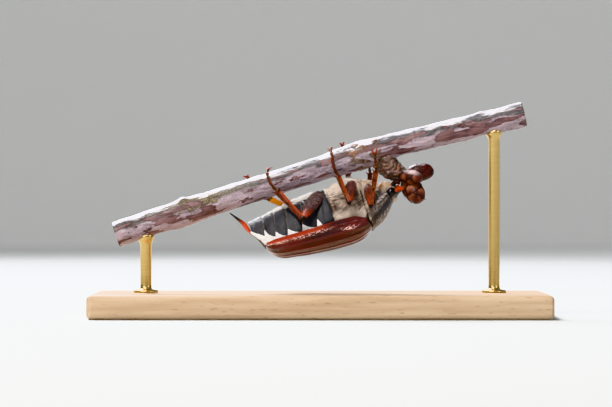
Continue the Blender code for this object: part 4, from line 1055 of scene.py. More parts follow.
def on_twig(x, turn, height, side):
    """A point off the bark: turn in degrees from the underside, towards the viewer where side is 1."""
    slope = (twig_axis(x + 0.1) - twig_axis(x - 0.1)) / 0.2
    down = np.array((slope, 0, -1)) / math.hypot(slope, 1)
    out = math.cos(math.radians(turn)) * down + math.sin(math.radians(turn)) * np.array((0, -side, 0))
    return np.array((x, 0, twig_axis(x))) + out * (twig_radius(x) + height)


print("the twig rises from", twig_axis(TWIG_FROM).round(1), "to", twig_axis(TWIG_TO).round(1), "mm")

# %% [markdown]
# ### Bark of the twig
# The bark has low lumps, knots and ring scars, pushed out of the rings. Near the spur it is old and flaky,
# which is one mark for the relief and the finish alike.

# %% The twig
x = np.linspace(TWIG_FROM, TWIG_TO, 340)
path = np.stack([x, 0 * x, twig_axis(x)], axis=1)
twig_rings = tube(path, twig_radius(x), (0, 1, 0), around=112)
twig_normal = unit(twig_rings - path[:, None, :])
lumps = ripple(twig_rings * (0.5, 1, 1), 2.6, 51) * 0.06 + ripple(twig_rings * (0.4, 1, 1), 0.9, 52) * 0.025
at = x[:, None]
angle_up = np.degrees(np.arctan2(twig_normal[..., 2], -twig_normal[..., 1]))
for place, turn_up, height, half in KNOTS:
    away = np.abs((angle_up - turn_up + 180) % 360 - 180) * math.pi / 180 * 2.0
    lumps = lumps + height * np.exp(-(((at - place) / half) ** 2) - (away / half) ** 2)
for scar in RING_SCARS:
    lumps = lumps + 0.07 * bell(at, scar, 0.14) - 0.04 * bell(at, scar + 0.3, 0.12)
old = smooth(bell(at, 7.3, 3.6), 0.3, 0.8) * smooth(ripple(twig_rings * (0.6, 1, 1), 1.8, 53), -0.5, 0.5)
lumps = lumps + old * (0.05 + 0.07 * ripple(twig_rings * (0.6, 1, 1), 0.8, 54))
twig_skin = twig_rings + twig_normal * lumps[..., None]
level_place = twig_rings - (path * (0, 0, 1))[:, None, :]
level_place[..., 0] = at
Mould().add(
    twig_skin, where=level_place, height=twig_normal[..., 2], old=old * 0.8, ochre=bell(x, -20.0, 8.0),
).cast("twig_bark", bark_finish, "bark", "twig")

# %% [markdown]
# ### Sawn ends
# A twig end that is cut by a fine saw is flat, with the bark standing round it and a soft pith that sinks
# in. The rings run from the rim to the pith.

# %% Sawn ends
# size of each ring, and how far it stands out
SAWN = ((1.0, -0.15), (0.97, -0.02), (0.93, 0.0), (0.9, 0.03), (0.7, 0.03), (0.5, 0.03), (0.3, 0.03),
        (0.16, 0.02), (0.12, -0.06), (0.02, -0.08))
for end_name, ring, way in (("left", twig_skin[0], -1), ("right", twig_skin[-1], 1)):
    middle = ring.mean(axis=0)
    sawn = np.stack([middle + (ring - middle) * size + np.array((out * way, 0, 0)) for size, out in SAWN])
    Mould().add(sawn, radius=np.array(SAWN)[:, 0]).cast(f"twig_end_{end_name}", cut_finish, "bark")

# %% [markdown]
# ### Spur
# A fruiting spur is short and ringed all along, because it grows only a little each year. The rings come
# from one sine wave along the path, shifted by a ripple so that no two are alike.

# %% The spur
SPUR_PATH = (
    (9.5, 0.1, 28.4), (10.3, 0.3, 26.5), (11.3, 0.5, 25.2), (12.3, 0.65, 24.4), (13.3, 0.7, 23.9),
    (14.3, 0.7, 23.4),
)
SPUR_RADII = ((0.0, 1.6), (0.22, 1.95), (0.45, 1.9), (0.65, 1.7), (0.85, 1.35), (1.0, 0.9))
shares = np.linspace(0, 1, 110)
path = smooth_path(SPUR_PATH, len(shares))
rings = tube(path, along(SPUR_RADII, shares), (0, 1, 0), around=96)
ring_scars = 0.14 * np.abs(np.sin(shares[:, None] * math.pi * 7 + 0.7 * ripple(rings, 2.6, 61))) ** 1.5
rough = ring_scars + 0.09 * ripple(rings, 0.9, 62) + 0.05 * ripple(rings, 0.42, 63) - 0.08
spur_skin = rings + unit(rings - path[:, None, :]) * rough[..., None]
Mould().add(spur_skin, height=0.0, old=0.75 + 0.25 * np.clip(ripple(rings, 1.2, 64), -1, 1)).cast(
    "spur_bark", bark_finish, "bark", "spur")

# %% [markdown]
# ### Buds
# A bud is wrapped in tiers of scales. Each scale is a bent leaf of a shell that starts at the root and lies
# over the next, over a core that closes the gaps.

# %% Lines of the buds
BUDS = (  # name, root, tip, radius, how pale the scales are, and how strong a painted sky sheen on top is
    ("bud_upper", (14.5, 0.9, 23.7), (19.0, 1.3, 24.5), 1.42, 0.0, 0.0),
    ("bud_middle", (13.5, -0.4, 23.4), (16.9, -2.7, 23.1), 1.15, 0.55, 0.85),
    ("bud_lower", (14.4, 1.2, 22.7), (16.7, -2.1, 19.3), 1.62, 0.8, 0.0),
)
BUD_OUTLINE = (
    (0.0, 0.55), (0.08, 0.8), (0.22, 0.98), (0.42, 1.08), (0.62, 1.06), (0.8, 0.9), (0.93, 0.58),
    (1.0, 0.12),
)
CORE_SIZE, BUD_SCALE_THICKNESS = 0.9, 0.07
SCALES = ((0.0, 0.5, 4), (0.1, 0.78, 3), (0.3, 0.99, 3))  # start and end along the bud, number in the tier
HORN = ((16.8, -2.0, 20.2), (17.2, -2.2, 19.75), (17.55, -2.2, 19.5))
print(sum(tier[2] for tier in SCALES), "scales on each bud")

# %% [markdown]
# ### Scales
# u runs along a scale and v across it. A scale is widest near its middle and narrows to a round tip, and
# each tier is turned against the one before, as on the living bud.

# %% The buds
u = np.linspace(0, 1, 22)  # along a scale
v = np.linspace(-1, 1, 19)  # across it
for number, (name, root, tip, radius, pale, bloom) in enumerate(BUDS):
    root = np.array(root, float)
    ahead = unit(np.array(tip, float) - root)
    across = unit(np.cross(ahead, (0, 0.35, 1)))
    third = np.cross(ahead, across)
    length = np.linalg.norm(np.array(tip) - root)
    shares = np.linspace(0, 1, 40)
    core_path = root + np.outer(shares * length, ahead)
    core = tube(core_path, radius * CORE_SIZE * along(BUD_OUTLINE, shares), (0, 1, 0), around=48)
    mould = Mould().add(core, pale=pale * 0.3, rim=0.2)
    for tier, (start, end, count) in enumerate(SCALES):
        for turn_number in range(count):
            middle_turn = (turn_number + 0.5 * tier + 0.13 * number) / count * 2 * math.pi
            half_turn = 0.66 * 2 * math.pi / count * np.sqrt(np.clip(1 - u**3.2, 0, 1))
            half_turn = half_turn * (0.8 + 0.4 * smooth(u, 0, 0.4))
            spot = start + (end - start) * u
            angle = middle_turn + half_turn[:, None] * v
            height = 0.92 + (2 - tier) * 0.03 + 0.02 * smooth(u, 0.5, 1.0)
            r = (radius * along(BUD_OUTLINE, np.clip(spot, 0, 1)) * height)[:, None] + 0.02 * v**2
            points = (
                root + (spot * length)[:, None, None] * ahead
                + (r * np.cos(angle))[..., None] * across + (r * np.sin(angle))[..., None] * third
            )
            at_side = smooth(np.abs(v), 0.75, 1.0) * smooth(u, 0.1, 0.5)[:, None]
            # how far a point faces up, where the painted reflection of the sky goes
            upward = np.cos(angle) * across[2] + np.sin(angle) * third[2]
            mould.add(
                points, closed=False, rim=np.maximum(at_side, smooth(u, 0.88, 1.0)[:, None]),
                pale=(0.02 + 0.7 * pale) * bell(u, 0.55, 0.3)[:, None] * (1 - v**2),
                bloom=bloom * smooth(upward, 0.35, 0.8) * bell(spot, 0.6, 0.25)[:, None])
    if name == "bud_lower":
        wide, deep = np.linspace(0.22, 0.03, 10), np.linspace(0.16, 0.03, 10)
        mould.add(sections_on(smooth_path(HORN, 10), wide, deep, (0, 1, 0), around=12), rim=0.7)
    mould.cast(f"{name}_scales", bud_finish, "bud", name, thickness=BUD_SCALE_THICKNESS)

# %% [markdown]
# ## Legs
# Each leg has a thigh, a shin, a foot of five joints and a pair of claws. The thigh is a flat spindle,
# the shin widens and carries teeth and two spurs for digging, and the foot wraps the twig. All are tubes
# over a path, with a girth that is read from a short outline. Their joints are dark, round knuckles.

# %% Places of the legs
LEG_PAIRS = {
    # hip, half width and thickness of the thigh, radii of the shin's ends and number of its teeth, then the
    # thigh's hairiness, where along the thigh the painted glow starts, and the painted glow of the shin
    "front": ((10.3, 1.5, -3.7), (0.8, 0.55), (0.33, 0.42), 3, 0.12, 0.2, 0.32),
    "middle": ((7.7, 1.6, -5.1), (0.95, 0.62), (0.33, 0.42), 1, 0.4, 0.55, 0.44),
    "hind": ((1.9, 2.5, -4.7), (1.25, 0.72), (0.4, 0.55), 1, 0.8, 0.6, 0.56),
}
LEGS = {
    # knee, then the joints of the foot and the tips of its claws: place along the twig, degrees round it,
    # height off the bark
    "front_left": (
        (9.75, 6.6, -0.5), ((8.35, 43, 2.1), (8.6, 52, 1.2), (8.8, 66, 0.72), (9.0, 82, 0.62)),
        (9.05, 96, 0.75)),
    "front_right": (
        (9.9, 6.5, -0.8), ((7.4, 42, 2.1), (7.6, 50, 1.2), (7.9, 66, 0.7), (8.3, 84, 0.62)),
        (8.6, 98, 0.75)),
    "middle_left": (
        (6.45, 6.8, -2.0), ((2.35, 46, 0.95), (2.1, 84, 0.66), (2.4, 124, 0.62), (2.5, 158, 0.64)),
        (2.5, 182, 0.8)),
    "middle_right": (
        (6.8, 6.6, -2.4), ((4.0, 46, 0.95), (4.1, 86, 0.66), (4.4, 126, 0.62), (4.55, 156, 0.7)),
        (4.6, 176, 1.1)),
    "hind_left": (
        (-1.6, 6.9, -1.6), ((-7.6, 62, 0.95), (-8.15, 94, 0.66), (-8.25, 130, 0.62), (-7.95, 160, 0.64)),
        (-7.4, 182, 0.8)),
    "hind_right": (
        (-2.3, 6.6, -3.0), ((-9.2, 44, 0.95), (-10.3, 84, 0.66), (-11.0, 124, 0.62), (-11.4, 158, 0.64)),
        (-11.65, 180, 0.9)),
}
LEG_PLANE = (1.0, 0.0, 0.29)
THIGH_OUTLINE = (
    (-0.06, 0.35), (0.0, 0.7), (0.16, 1.0), (0.38, 1.0), (0.6, 0.86), (0.78, 0.66), (0.9, 0.5), (0.98, 0.3))
FOOT_JOINTS, FOOT_RINGS = 5, 100
BRISTLES = 9
print("legs:", ", ".join(LEGS))

# %% [markdown]
# ### Spikes and knuckles
# Teeth, spurs, bristles and claws are all one shape: a horn that is bowed a little. A knuckle is the ball
# of the eyes again, with fewer points.

# %% Spikes and knuckles


def spike(mould, start, end, radius, bend=(0, 0, 0), around=12, **marks):
    """A pointed horn from start to end, bowed by bend."""
    t = np.linspace(0, 1, 12)
    path = np.outer(1 - t, start) + np.outer(t, end) + np.outer(t * (1 - t), bend)
    radii = radius * (1 - t**1.6) ** 0.8 + 0.01
    axis = LEG_PLANE if abs(unit(end - start)[0]) < 0.9 else (0, 0, 1)
    mould.add(tube(path, radii, axis, around), **marks)


def knuckle(mould, at, radius, **marks):
    """A round joint."""
    mould.add(at + dome[::3, ::4] * radius, **marks)


print("a knuckle has", dome[::3, ::4].size // 3, "points")

# %% [markdown]
# ### Thigh
# The thigh is a flat spindle with faint cross ridges. It is grey with down near the body, and towards the
# knee it is painted with a glow, as if light came through.

# %% Thigh


def make_thigh(mould, hip, knee, half_sizes, hairy, glow_from):
    wide, deep = half_sizes
    shares = np.linspace(-0.06, 0.97, 54)
    girth = along(THIGH_OUTLINE, shares)
    path = hip + np.outer(shares, knee - hip)
    rings = sections_on(path, wide * girth, np.maximum(deep * girth, 0.2), LEG_PLANE, around=40)
    rings = pushed(rings, 0.03 * np.sin(shares * 70)[:, None] * smooth(shares, 0.1, 0.3)[:, None])
    # painted glow towards the knee
    mould.add(
        rings, grey=(1 - smooth(shares, 0.5, 0.8)) * hairy, bright=0.4 * smooth(shares, glow_from, 0.9),
        dark=0.8 * smooth(shares, 0.93, 0.97))
    knuckle(mould, hip, deep * 0.85, dark=0.35, grey=0.5)
    return rings


print("the widest thigh is", 2 * max(pair[1][0] for pair in LEG_PAIRS.values()), "mm")

# %% [markdown]
# ### Shin
# The shin widens to its end. It has a slight square relief, teeth on its outside, two spurs and a ring of
# bristles at the ankle. Each shin is painted lighter on one side, as light falls on it, and one shin, which
# stands in front of the light, has a painted glow on the viewer's side.

# %% Shin


def make_shin(mould, knee, ankle, side, radii_of_ends, teeth, glow, see_through):
    thin, thick = radii_of_ends
    shares = np.linspace(-0.03, 1.0, 50)
    radii = thin * (1 + 0.25 * bell(shares, 0.04, 0.05)) + (thick - thin) * smooth(shares, 0.15, 0.93)
    radii = radii * (1 - 0.25 * smooth(shares, 0.95, 1.0)) * (0.4 + 0.6 * smooth(shares, -0.05, 0.02))
    turn = full_turn(32)
    path = knee + np.outer(shares, ankle - knee)
    rings = sections_on(path, radii * 0.94, radii * 0.8, LEG_PLANE, len(turn))
    rings = pushed(rings, (0.03 * np.cos(4 * turn))[None, :])
    # painted light: the shin is lighter on one side, and the shin in front of the light gets a painted glow
    bright = glow * smooth(np.cos(turn), -0.5, 0.8)[None, :]
    if see_through:  # the light comes through it, as seen from the left
        bright = glow + (1 - glow) * smooth(-normals_of(rings)[..., 1], -0.2, 0.5)
    dark = 0.85 * (1 - smooth(shares, -0.03, 0.05)) + 0.7 * smooth(shares, 0.93, 1.0)
    mould.add(rings, bright=bright, dark=dark)
    knuckle(mould, knee, thin * 1.15, dark=1.0)
    ahead = unit(ankle - knee)
    outer = np.cross(ahead, (1, 0, 0))
    outer = unit(outer * np.sign(outer @ np.array((0, -side, 0))))
    rearward = np.cross(ahead, outer)
    for number in range(teeth):
        root = knee + (ankle - knee) * (0.9 - 0.24 * number)
        spike(mould, root, root + outer * (thick + 0.42 - 0.08 * number) + ahead * 0.35, 0.24, dark=0.6)
    for way in (-1, 1):
        root = ankle - ahead * 0.45 + rearward * way * thick * 0.5
        spike(mould, root, ankle + ahead * 0.35 + rearward * way * (thick + 0.3), 0.11, dark=0.5, bright=0.1)
    for turn_at in np.random.default_rng(81).uniform(0, 2 * math.pi, BRISTLES):
        out = math.cos(turn_at) * outer + math.sin(turn_at) * rearward
        start = ankle - ahead * 0.15 + out * thick * 0.6
        spike(mould, start, start + ahead * 0.3 + out * 0.12, 0.035, around=6, dark=0.3)
    return rings


print(BRISTLES, "bristles and 2 spurs on each shin")

# %% [markdown]
# ### Foot
# The foot's joints are swellings along one smooth path that hugs the bark. Each joint ends in two small
# spines, and the last one carries a pair of claws, each with a tooth.

# %% Foot


def make_foot(mould, steps, claws, side):
    path = smooth_path([on_twig(*step, side) for step in steps], FOOT_RINGS)
    phase = np.linspace(0, FOOT_JOINTS, FOOT_RINGS, endpoint=False) % 1.0
    radii = 0.15 + 0.12 * smooth(phase, 0.0, 0.85) - 0.06 * smooth(phase, 0.9, 1.0)
    rings = sections_on(path, radii, radii * 0.9, LEG_PLANE, around=18)
    mould.add(rings, dark=0.25 + 0.5 * bell(phase, 0.0, 0.12))
    end, tip = path[-1], on_twig(*claws, side)
    ahead = unit(tip - end)
    inward = unit(on_twig(*claws[:2], 0.0, side) - tip)
    apart = np.cross(ahead, inward)
    per_joint = FOOT_RINGS // FOOT_JOINTS
    for last in range(per_joint, FOOT_RINGS, per_joint):
        joint = path[last - 2]
        way = unit(path[last + 2] - path[last - 4])
        for across in (-1, 1):
            point = joint + way * 0.22 + apart * 0.25 * across
            spike(mould, joint + inward * 0.05, point, 0.05, around=6, dark=0.4)
    for across in (-1, 1):
        start = end - ahead * 0.2
        point = end + ahead * 0.95 + apart * 0.55 * across + inward * 0.2
        spike(mould, start, point, 0.15, -inward * 0.35 + apart * across * 0.3, dark=0.15, bright=0.4)
        root = start * 0.6 + point * 0.4 - inward * 0.05 + apart * across * 0.07
        spike(mould, root, root + inward * 0.24 + ahead * 0.02, 0.09, around=8, dark=0.3, bright=0.2)
    return rings


print(FOOT_JOINTS, "joints in each foot")

# %% [markdown]
# ### Six legs
# Hips and knees are given in the beetle's frame and are hung with it, but the feet are given on the twig,
# because that is what they hold.

# %% Six legs
leg_rings = {}
for name, (knee, foot, claws) in LEGS.items():
    pair, side_name = name.split("_")
    side = dict(left=1, right=-1)[side_name]
    hip, thigh_sizes, shin_radii, teeth, hairy, glow_from, glow = LEG_PAIRS[pair]
    hip, knee = (hung(np.array(end) * (1, side, 1)) for end in (hip, knee))
    ankle = on_twig(*foot[0], side)
    mould = Mould()
    leg_rings[name] = (
        make_thigh(mould, hip, knee, thigh_sizes, hairy, glow_from),
        make_shin(mould, knee, ankle, side, shin_radii, teeth, glow, name == "hind_right"),
        make_foot(mould, foot, claws, side),
    )
    mould.cast("leg_" + name, leg_finish, "leg", "thigh_" + name, "shin_" + name, "foot_" + name)

# %% [markdown]
# ## Coat
# Blender has hair curves for fur, but a model that is exported needs solid hair. So each tuft here is a
# thin, three-sided, pointed spike with a bend. sow() picks seeded roots, evenly over the area of a grid.

# %% Sowing


def sow(rings, count, seed, wanted=None, closed=True, on_body=True):
    """Seeded roots on a grid: place, normal, way to the next row, place for patterns, and unwrap."""
    draw = np.random.default_rng(seed)
    where, rings = rings, hung(rings) if on_body else rings
    pad = (lambda a: np.concatenate([a, a[:, :1]], axis=1)) if closed else (lambda a: a)
    grid, normals, where = pad(rings), pad(normals_of(rings, closed)), pad(where)
    one, two, three = grid[:-1, :-1], grid[1:, :-1], grid[:-1, 1:]
    area = np.linalg.norm(np.cross(two - one, three - one), axis=-1)
    if wanted is not None:
        area = area * pad(wanted)[:-1, :-1]
    flat = draw.choice(area.size, size=count, p=(area / area.sum()).ravel())
    row, column = np.divmod(flat, area.shape[1])
    u, v = draw.random((2, count, 1))

    def read(values):
        near = values[row, column] * (1 - v) + values[row, column + 1] * v
        far = values[row + 1, column] * (1 - v) + values[row + 1, column + 1] * v
        return near * (1 - u) + far * u

    unwrap = np.stack([(row + u[:, 0]) / area.shape[0], (column + v[:, 0]) / area.shape[1]], axis=1)
    next_row = unit(grid[row + 1, column] - grid[row, column])
    return {"root": read(grid), "normal": unit(read(normals)), "next": next_row, "where": read(where),
            "unwrap": unwrap, "draw": draw}


print("one root, for a try:", sow(body_rings, 1, 1)["where"].round(1))

# %% [markdown]
# ### Tufts
# grow() makes the tufts: they start in the skin, rise a little and then lie along the given way. Every tuft
# gets a small patch of the OFBake map at its root's place on the skin's own unwrap, so baked colours land
# on the right tuft.

# %% Growing
# a tuft has three rings with three corners, and a tip
TUFT_HEIGHTS, TUFT_GIRTHS = (0.0, 0.4, 0.75, 1.0), (1.0, 0.85, 0.5)
TUFT_FACES = ((2, 1, 0), (0, 1, 4, 3), (1, 2, 5, 4), (2, 0, 3, 5), (3, 4, 7, 6), (4, 5, 8, 7), (5, 3, 6, 8),
              (6, 7, 9), (7, 8, 9), (8, 6, 9))
TUFT_POINTS, TUFT_TRIANGLES = 10, 16
ROOT_DEPTH = 0.06
PATCH = 0.003  # width of a tuft's patch of the OFBake map


def grow(name, roots, way, length, radius, rise, shade, gold=0.0, snow=0.0, mess=0.2):
    """Makes one mesh of tufts. rise is how far a tuft stands off the skin, as a share of its length."""
    draw, root, normal = roots["draw"], roots["root"], roots["normal"]
    count = len(root)
    lie = unit(way - (way * normal).sum(-1, keepdims=True) * normal)
    side = np.cross(normal, lie)
    swirl = ripple(root, 1.1, 91)[:, None] * mess + draw.normal(size=(count, 1)) * mess * 0.5
    lie = unit(lie + side * swirl)
    side = np.cross(normal, lie)
    length = (np.broadcast_to(length, count) * draw.uniform(0.65, 1.15, count))[:, None]
    rise = (np.broadcast_to(rise, count) * draw.uniform(0.6, 1.4, count))[:, None]
    spine = [
        root - normal * ROOT_DEPTH
        + length * (lie * h + normal * rise * h * (1.6 - 0.8 * h) + side * swirl * 0.3 * h * h)
        for h in TUFT_HEIGHTS
    ]
    turns = [2 * math.pi * corner / 3 + math.pi / 2 for corner in range(3)]
    points = [middle + radius * girth * (math.cos(turn) * side + math.sin(turn) * normal)
              for middle, girth in zip(spine, TUFT_GIRTHS) for turn in turns]
    points = np.stack([*points, spine[3]], axis=1)
    first = np.arange(count)[:, None] * TUFT_POINTS
    mesh = bpy.data.meshes.new(name)
    mesh.from_pydata((points.reshape(-1, 3) * MM).tolist(), [],
                     [face for pattern in TUFT_FACES for face in (first + np.array(pattern)).tolist()])
    marks = {"strand": draw.random(count), "shade": shade, "gold": gold, "snow": snow}
    marks = {mark: np.repeat(np.broadcast_to(value, count), TUFT_POINTS) for mark, value in marks.items()}
    keep_marks(mesh, marks, np.repeat(roots["where"], TUFT_POINTS, axis=0))
    in_patch = np.stack([[0, 0.5, 1] * 3 + [0.5], np.append(np.repeat(TUFT_HEIGHTS[:3], 3), 1.0)], axis=1)
    in_map = np.repeat(roots["unwrap"] * (1 - PATCH), TUFT_POINTS, axis=0)
    in_map = in_map + np.tile(in_patch, (count, 1)) * PATCH
    loops = np.zeros(len(mesh.loops), np.int32)
    mesh.loops.foreach_get("vertex_index", loops)
    mesh.uv_layers.new(name="OFBake").data.foreach_set("uv", in_map[loops].astype(np.float32).ravel())
    new_piece(name, mesh, hair_finish)
    print(f"{name}: {count} tufts, {count * TUFT_TRIANGLES} triangles")


# %% [markdown]
# The breast has the longest hair, up to 1.5 mm, cream on the belly and along the wing cases, and browner
# between the legs. On the belly side, which faces up, part of that cream is painted light, and a dark line
# between the shield and the middle legs is painted shade. The shield has a fringe at both edges and down on
# its sides. The belly has a short fringe, painted white where light from behind catches it, and white
# scales fill the corners of the plates.

# %% The coat of the breast
BREAST_TUFTS = 11500  # in each half
LEAST_RISE = 0.13  # in millimetres, so that no short tuft sinks under the skin
breast_grid = body_rings[body_seams <= FIRST_PLATE + 0.06]
on_breast = smooth(-breast_grid[..., 2], -0.9, -0.3)
for half, seed in (("lower", 101), ("upper", 102)):
    roots = sow(breast_grid, BREAST_TUFTS, seed, on_breast)
    x, y, z = roots["where"].T
    # the belly side faces up, so part of its cream is painted light
    pale = np.maximum(smooth(-z, 3.3, 4.8), smooth(z, -1.5, -0.4))
    combed = ripple(roots["where"] * (0.12, 1, 1), 0.38, 103)
    cream = 0.16 + 0.8 * pale + 0.2 * bell(x, 8.4, 1.0) + (0.6 - 0.3 * pale) * combed
    cream = cream + 0.08 * ripple(roots["where"], 2.0, 104)
    # painted shade: a dark line between the shield and the middle legs
    cream = cream - 0.7 * bell(x, 8.5, 0.22) * smooth(-z, 0.5, 1.5) * smooth(z, -5.2, -4.6)
    way = toward(-1.0, 0.0, 0.28) + toward(0, 0, 0.5) * smooth(x, 7.5, 9.0)[:, None]
    near_joint = 0.15 + 0.85 * smooth(x, 3.8, 6.5)
    rise = (0.15 + 0.08 * smooth(-z, 4, 5.5)) * near_joint * (1 + 0.5 * np.clip(combed, -1, 1))
    length = 0.45 + 1.05 * smooth(x, 3.8, 6.2)
    # the extra white near the front of the belly side is painted light
    snow = 0.25 * pale + 0.5 * bell(x, 8.2, 1.3) * smooth(-z, 3.8, 4.8)
    grow("breast_hair_" + half, roots, way, length, radius=0.026, rise=np.maximum(rise, LEAST_RISE / length),
         shade=np.clip(cream, 0, 1), snow=snow, mess=0.16)

# %% [markdown]
# ### Coat of the shield and the head
# The shield is bare along its dark stripe. Its fringes are long at the rear edge, and the coat is thick and
# cream on the underside.

# %% The coat of the front shield
SHIELD_TUFTS = 12400
x, z = shield_skin[..., 0], shield_skin[..., 2]
share = np.linspace(0, 1, SHIELD_ROWS)[:, None]
hind_band = smooth(0.13 - share, 0.0, 0.1) * smooth(z, -4.5, -3.0)
hind_band = hind_band * (0.15 + 0.85 * smooth(2.7 - z, 0.0, 1.5))
front_band = smooth(share, 0.86, 0.95)
underside = smooth(-np.cos(ring_turn), 0.1, 0.35) * 0.4
thin_down = 0.03 + 0.85 * smooth(off_stripe(shield_skin), 0.3, 0.7) * (0.5 + 0.5 * smooth(2.9 - z, 0, 0.8))
patchy = smooth(ripple(shield_skin, 0.9, 112), -1.2, 0.6)
wanted = hind_band * (0.35 + 0.65 * patchy) + front_band * 0.4 + underside + thin_down
roots = sow(shield_skin, SHIELD_TUFTS, 111, np.clip(wanted * (0.5 + 0.5 * patchy), 0, 1))
x, y, z = roots["where"].T
under = smooth(-z, 2.2, 3.4)
cream = np.clip(0.5 + 0.4 * under + 0.35 * ripple(roots["where"] * (0.25, 1, 1), 0.35, 113), 0, 1)
way = toward(-1.0, 0, 0.1) + toward(-0.2, 0, 0.5) * under[:, None]
length = 0.52 + 0.5 * under + 0.25 * smooth(10.1 - x, 0, 0.6) * smooth(2.2 - z, 0.0, 2.0)
grow("front_shield_hair", roots, way, length, radius=0.018, rise=0.1 + 0.2 * under, shade=cream,
     snow=0.6 * (1 - under) * smooth(x, 9.8, 10.6), mess=0.3)

# %% [markdown]
# The head is black and nearly bare. Its hair stands up behind the brow and on the throat, where part of it
# is golden.

# %% The coat of the head
HEAD_TUFTS = 2600
x, z = head_skin[..., 0], head_skin[..., 2]
throat, brow = smooth(-z, 2.2, 3.0) * smooth(13.4 - x, 0, 1.0), 0.25 * smooth(14.2 - x, 0, 1.0)
roots = sow(head_skin, HEAD_TUFTS, 121, throat + brow)
streak = smooth(ripple(roots["where"], 0.9, 122), -0.5, 0.7)
gold = 0.6 * (1 - streak) * smooth(-roots["where"][:, 2], 2.0, 2.8)
grow("head_hair", roots, toward(0.5, 0, -0.8), length=0.75, radius=0.022, rise=0.5,
     shade=0.8 + 0.2 * streak, gold=gold, mess=0.5)

# %% [markdown]
# ### Coat of the belly
# The belly has two coats: down that stands up along its middle, and short, broad white scales that are
# sown only where the mark white says so.

# %% The coat of the belly
BELLY_TUFTS = 9000
belly_rows = body_seams > FIRST_PLATE + 1.0
belly_grid = body_rings[belly_rows]
x, z = belly_grid[..., 0], belly_grid[..., 2]
middle_strip = smooth(-z - 0.12 * x, 4.4, 4.85) + 0.06 * (z < 0.8)
corner = smooth(white[belly_rows], 0.03, 0.16) * (z < 0.9)
roots = sow(belly_grid, BELLY_TUFTS, 131, middle_strip)
z = roots["where"][:, 2]
# painted light: the fringe is white along the top, where light from behind catches it
grow("belly_down", roots, toward(-1.0, 0, -0.1), length=0.32 + 0.36 * smooth(-z, 3.2, 4.6), radius=0.02,
     rise=0.14 + 0.38 * smooth(-z, 3.8, 4.8), shade=0.9, snow=smooth(-z, 2.6, 3.9))
roots = sow(belly_grid, BELLY_TUFTS, 141, corner)
grow("belly_white_scales", roots, toward(-0.9, 0, 0.25), length=0.26, radius=0.03, rise=0.2, shade=1.0,
     snow=1.0, mess=0.25)

# %% [markdown]
# ### Down of the wing cases
# The wing cases carry very short, fine down between the ribs. It hardly shows by itself, but it breaks
# the shine, as dust does.

# %% The down of the wing cases
CASE_TUFTS = 4000
wanted = dusty * (1 - 0.8 * rib) * smooth(ripple(case_points * (0.4, 1, 1), 1.6, 145), -1.5, 1.5)
for side, side_name in SIDES:
    roots = sow(case_points * (1, side, 1), CASE_TUFTS, 146, wanted, closed=False)
    outward = (roots["normal"] * toward(0, side, 0.3)).sum(axis=1, keepdims=True)
    roots["normal"] = roots["normal"] * np.sign(outward)
    grow("wing_case_down_" + side_name, roots, toward(-1, 0, 0), length=0.18, radius=0.008, rise=0.12,
         shade=0.1, snow=0.38)

# %% [markdown]
# ### Hair of the tail and the legs
# The tail plate is downy at its root. The legs have short hair, thickest on the thighs and golden on the
# shins and the feet.

# %% The hair of the tail and legs
TAIL_TUFTS = 2600
roots = sow(tail, TAIL_TUFTS, 151, tail_grey[:, None] * (1 - tail_edge))
grow("tail_down", roots, toward(-0.4, 0, -1), length=0.3, radius=0.016, rise=0.2, shade=0.5, snow=0.3,
     mess=0.3)
LEG_HAIR = (  # part, tufts, seed, length, radius, rise, shade, gold, mess
    ("thigh", 1500, 160, 0.4, 0.016, 0.2, 0.36, 0.0, 0.2),
    ("shin", 360, 170, 0.36, 0.014, 0.5, 0.1, 0.6, 0.4),
    ("foot", 260, 180, 0.28, 0.013, 0.6, 0.1, 0.5, 0.4),
)
for number, (name, parts) in enumerate(leg_rings.items()):
    for rings, (part, count, seed, length, radius, rise, shade, gold, mess) in zip(parts, LEG_HAIR):
        share = np.linspace(0, 1, len(rings))[:, None] * np.ones(rings.shape[1])
        roots = sow(rings, count, seed + number, 1.05 - share if part == "thigh" else None, on_body=False)
        grow(f"{part}_hair_{name}", roots, roots["next"], length, radius, rise, shade, gold, mess=mess)

# %% [markdown]
# ## Stand
# The display stand is plain: a beech base, kept from the solids with a wood finish, and two brass rods.
# The rods are made again with rounder sides, a small foot ring and a cup under the twig.

# %% The stand
NODES["stand_base"].data.materials.clear()
NODES["stand_base"].data.materials.append(beech_finish)
# height and radius of the rings of a rod: over the base, and under the bark
ROD_FOOT = ((0.0, 1.9), (0.05, 2.05), (0.35, 2.05), (0.5, 1.9), (0.62, 1.15), (0.8, 0.96), (1.4, 0.95))
ROD_CUP = ((-1.2, 0.95), (-0.7, 1.1), (-0.2, 1.35), (0.35, 1.4))
ROD_SINK = 0.3
rod_turn = full_turn(48)
for name, x in (("stand_rod_left", -29.0), ("stand_rod_right", 29.0)):
    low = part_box(name)[0].z / MM - ROD_SINK
    under_bark = twig_axis(x) - twig_radius(x)
    profile = [(low + h, r) for h, r in ROD_FOOT] + [(under_bark + h, r) for h, r in ROD_CUP]
    rings = np.array([
        np.stack([x + r * np.cos(rod_turn), r * np.sin(rod_turn), h + 0 * rod_turn], axis=1)
        for h, r in profile])
    rings[-1, :, 2] += 0.3 * np.sin(rod_turn) ** 2 + TWIG_SLOPE * (rings[-1, :, 0] - x)
    rings[-2, :, 2] += TWIG_SLOPE * (rings[-2, :, 0] - x) * 0.5
    Mould().add(rings).cast(name + "_brass", brass_finish, "stand_metal", name)

# %% [markdown]
# ## Floor, light and camera
# The floor is a wide pale dish whose rim curves up far away, so it has no horizon.

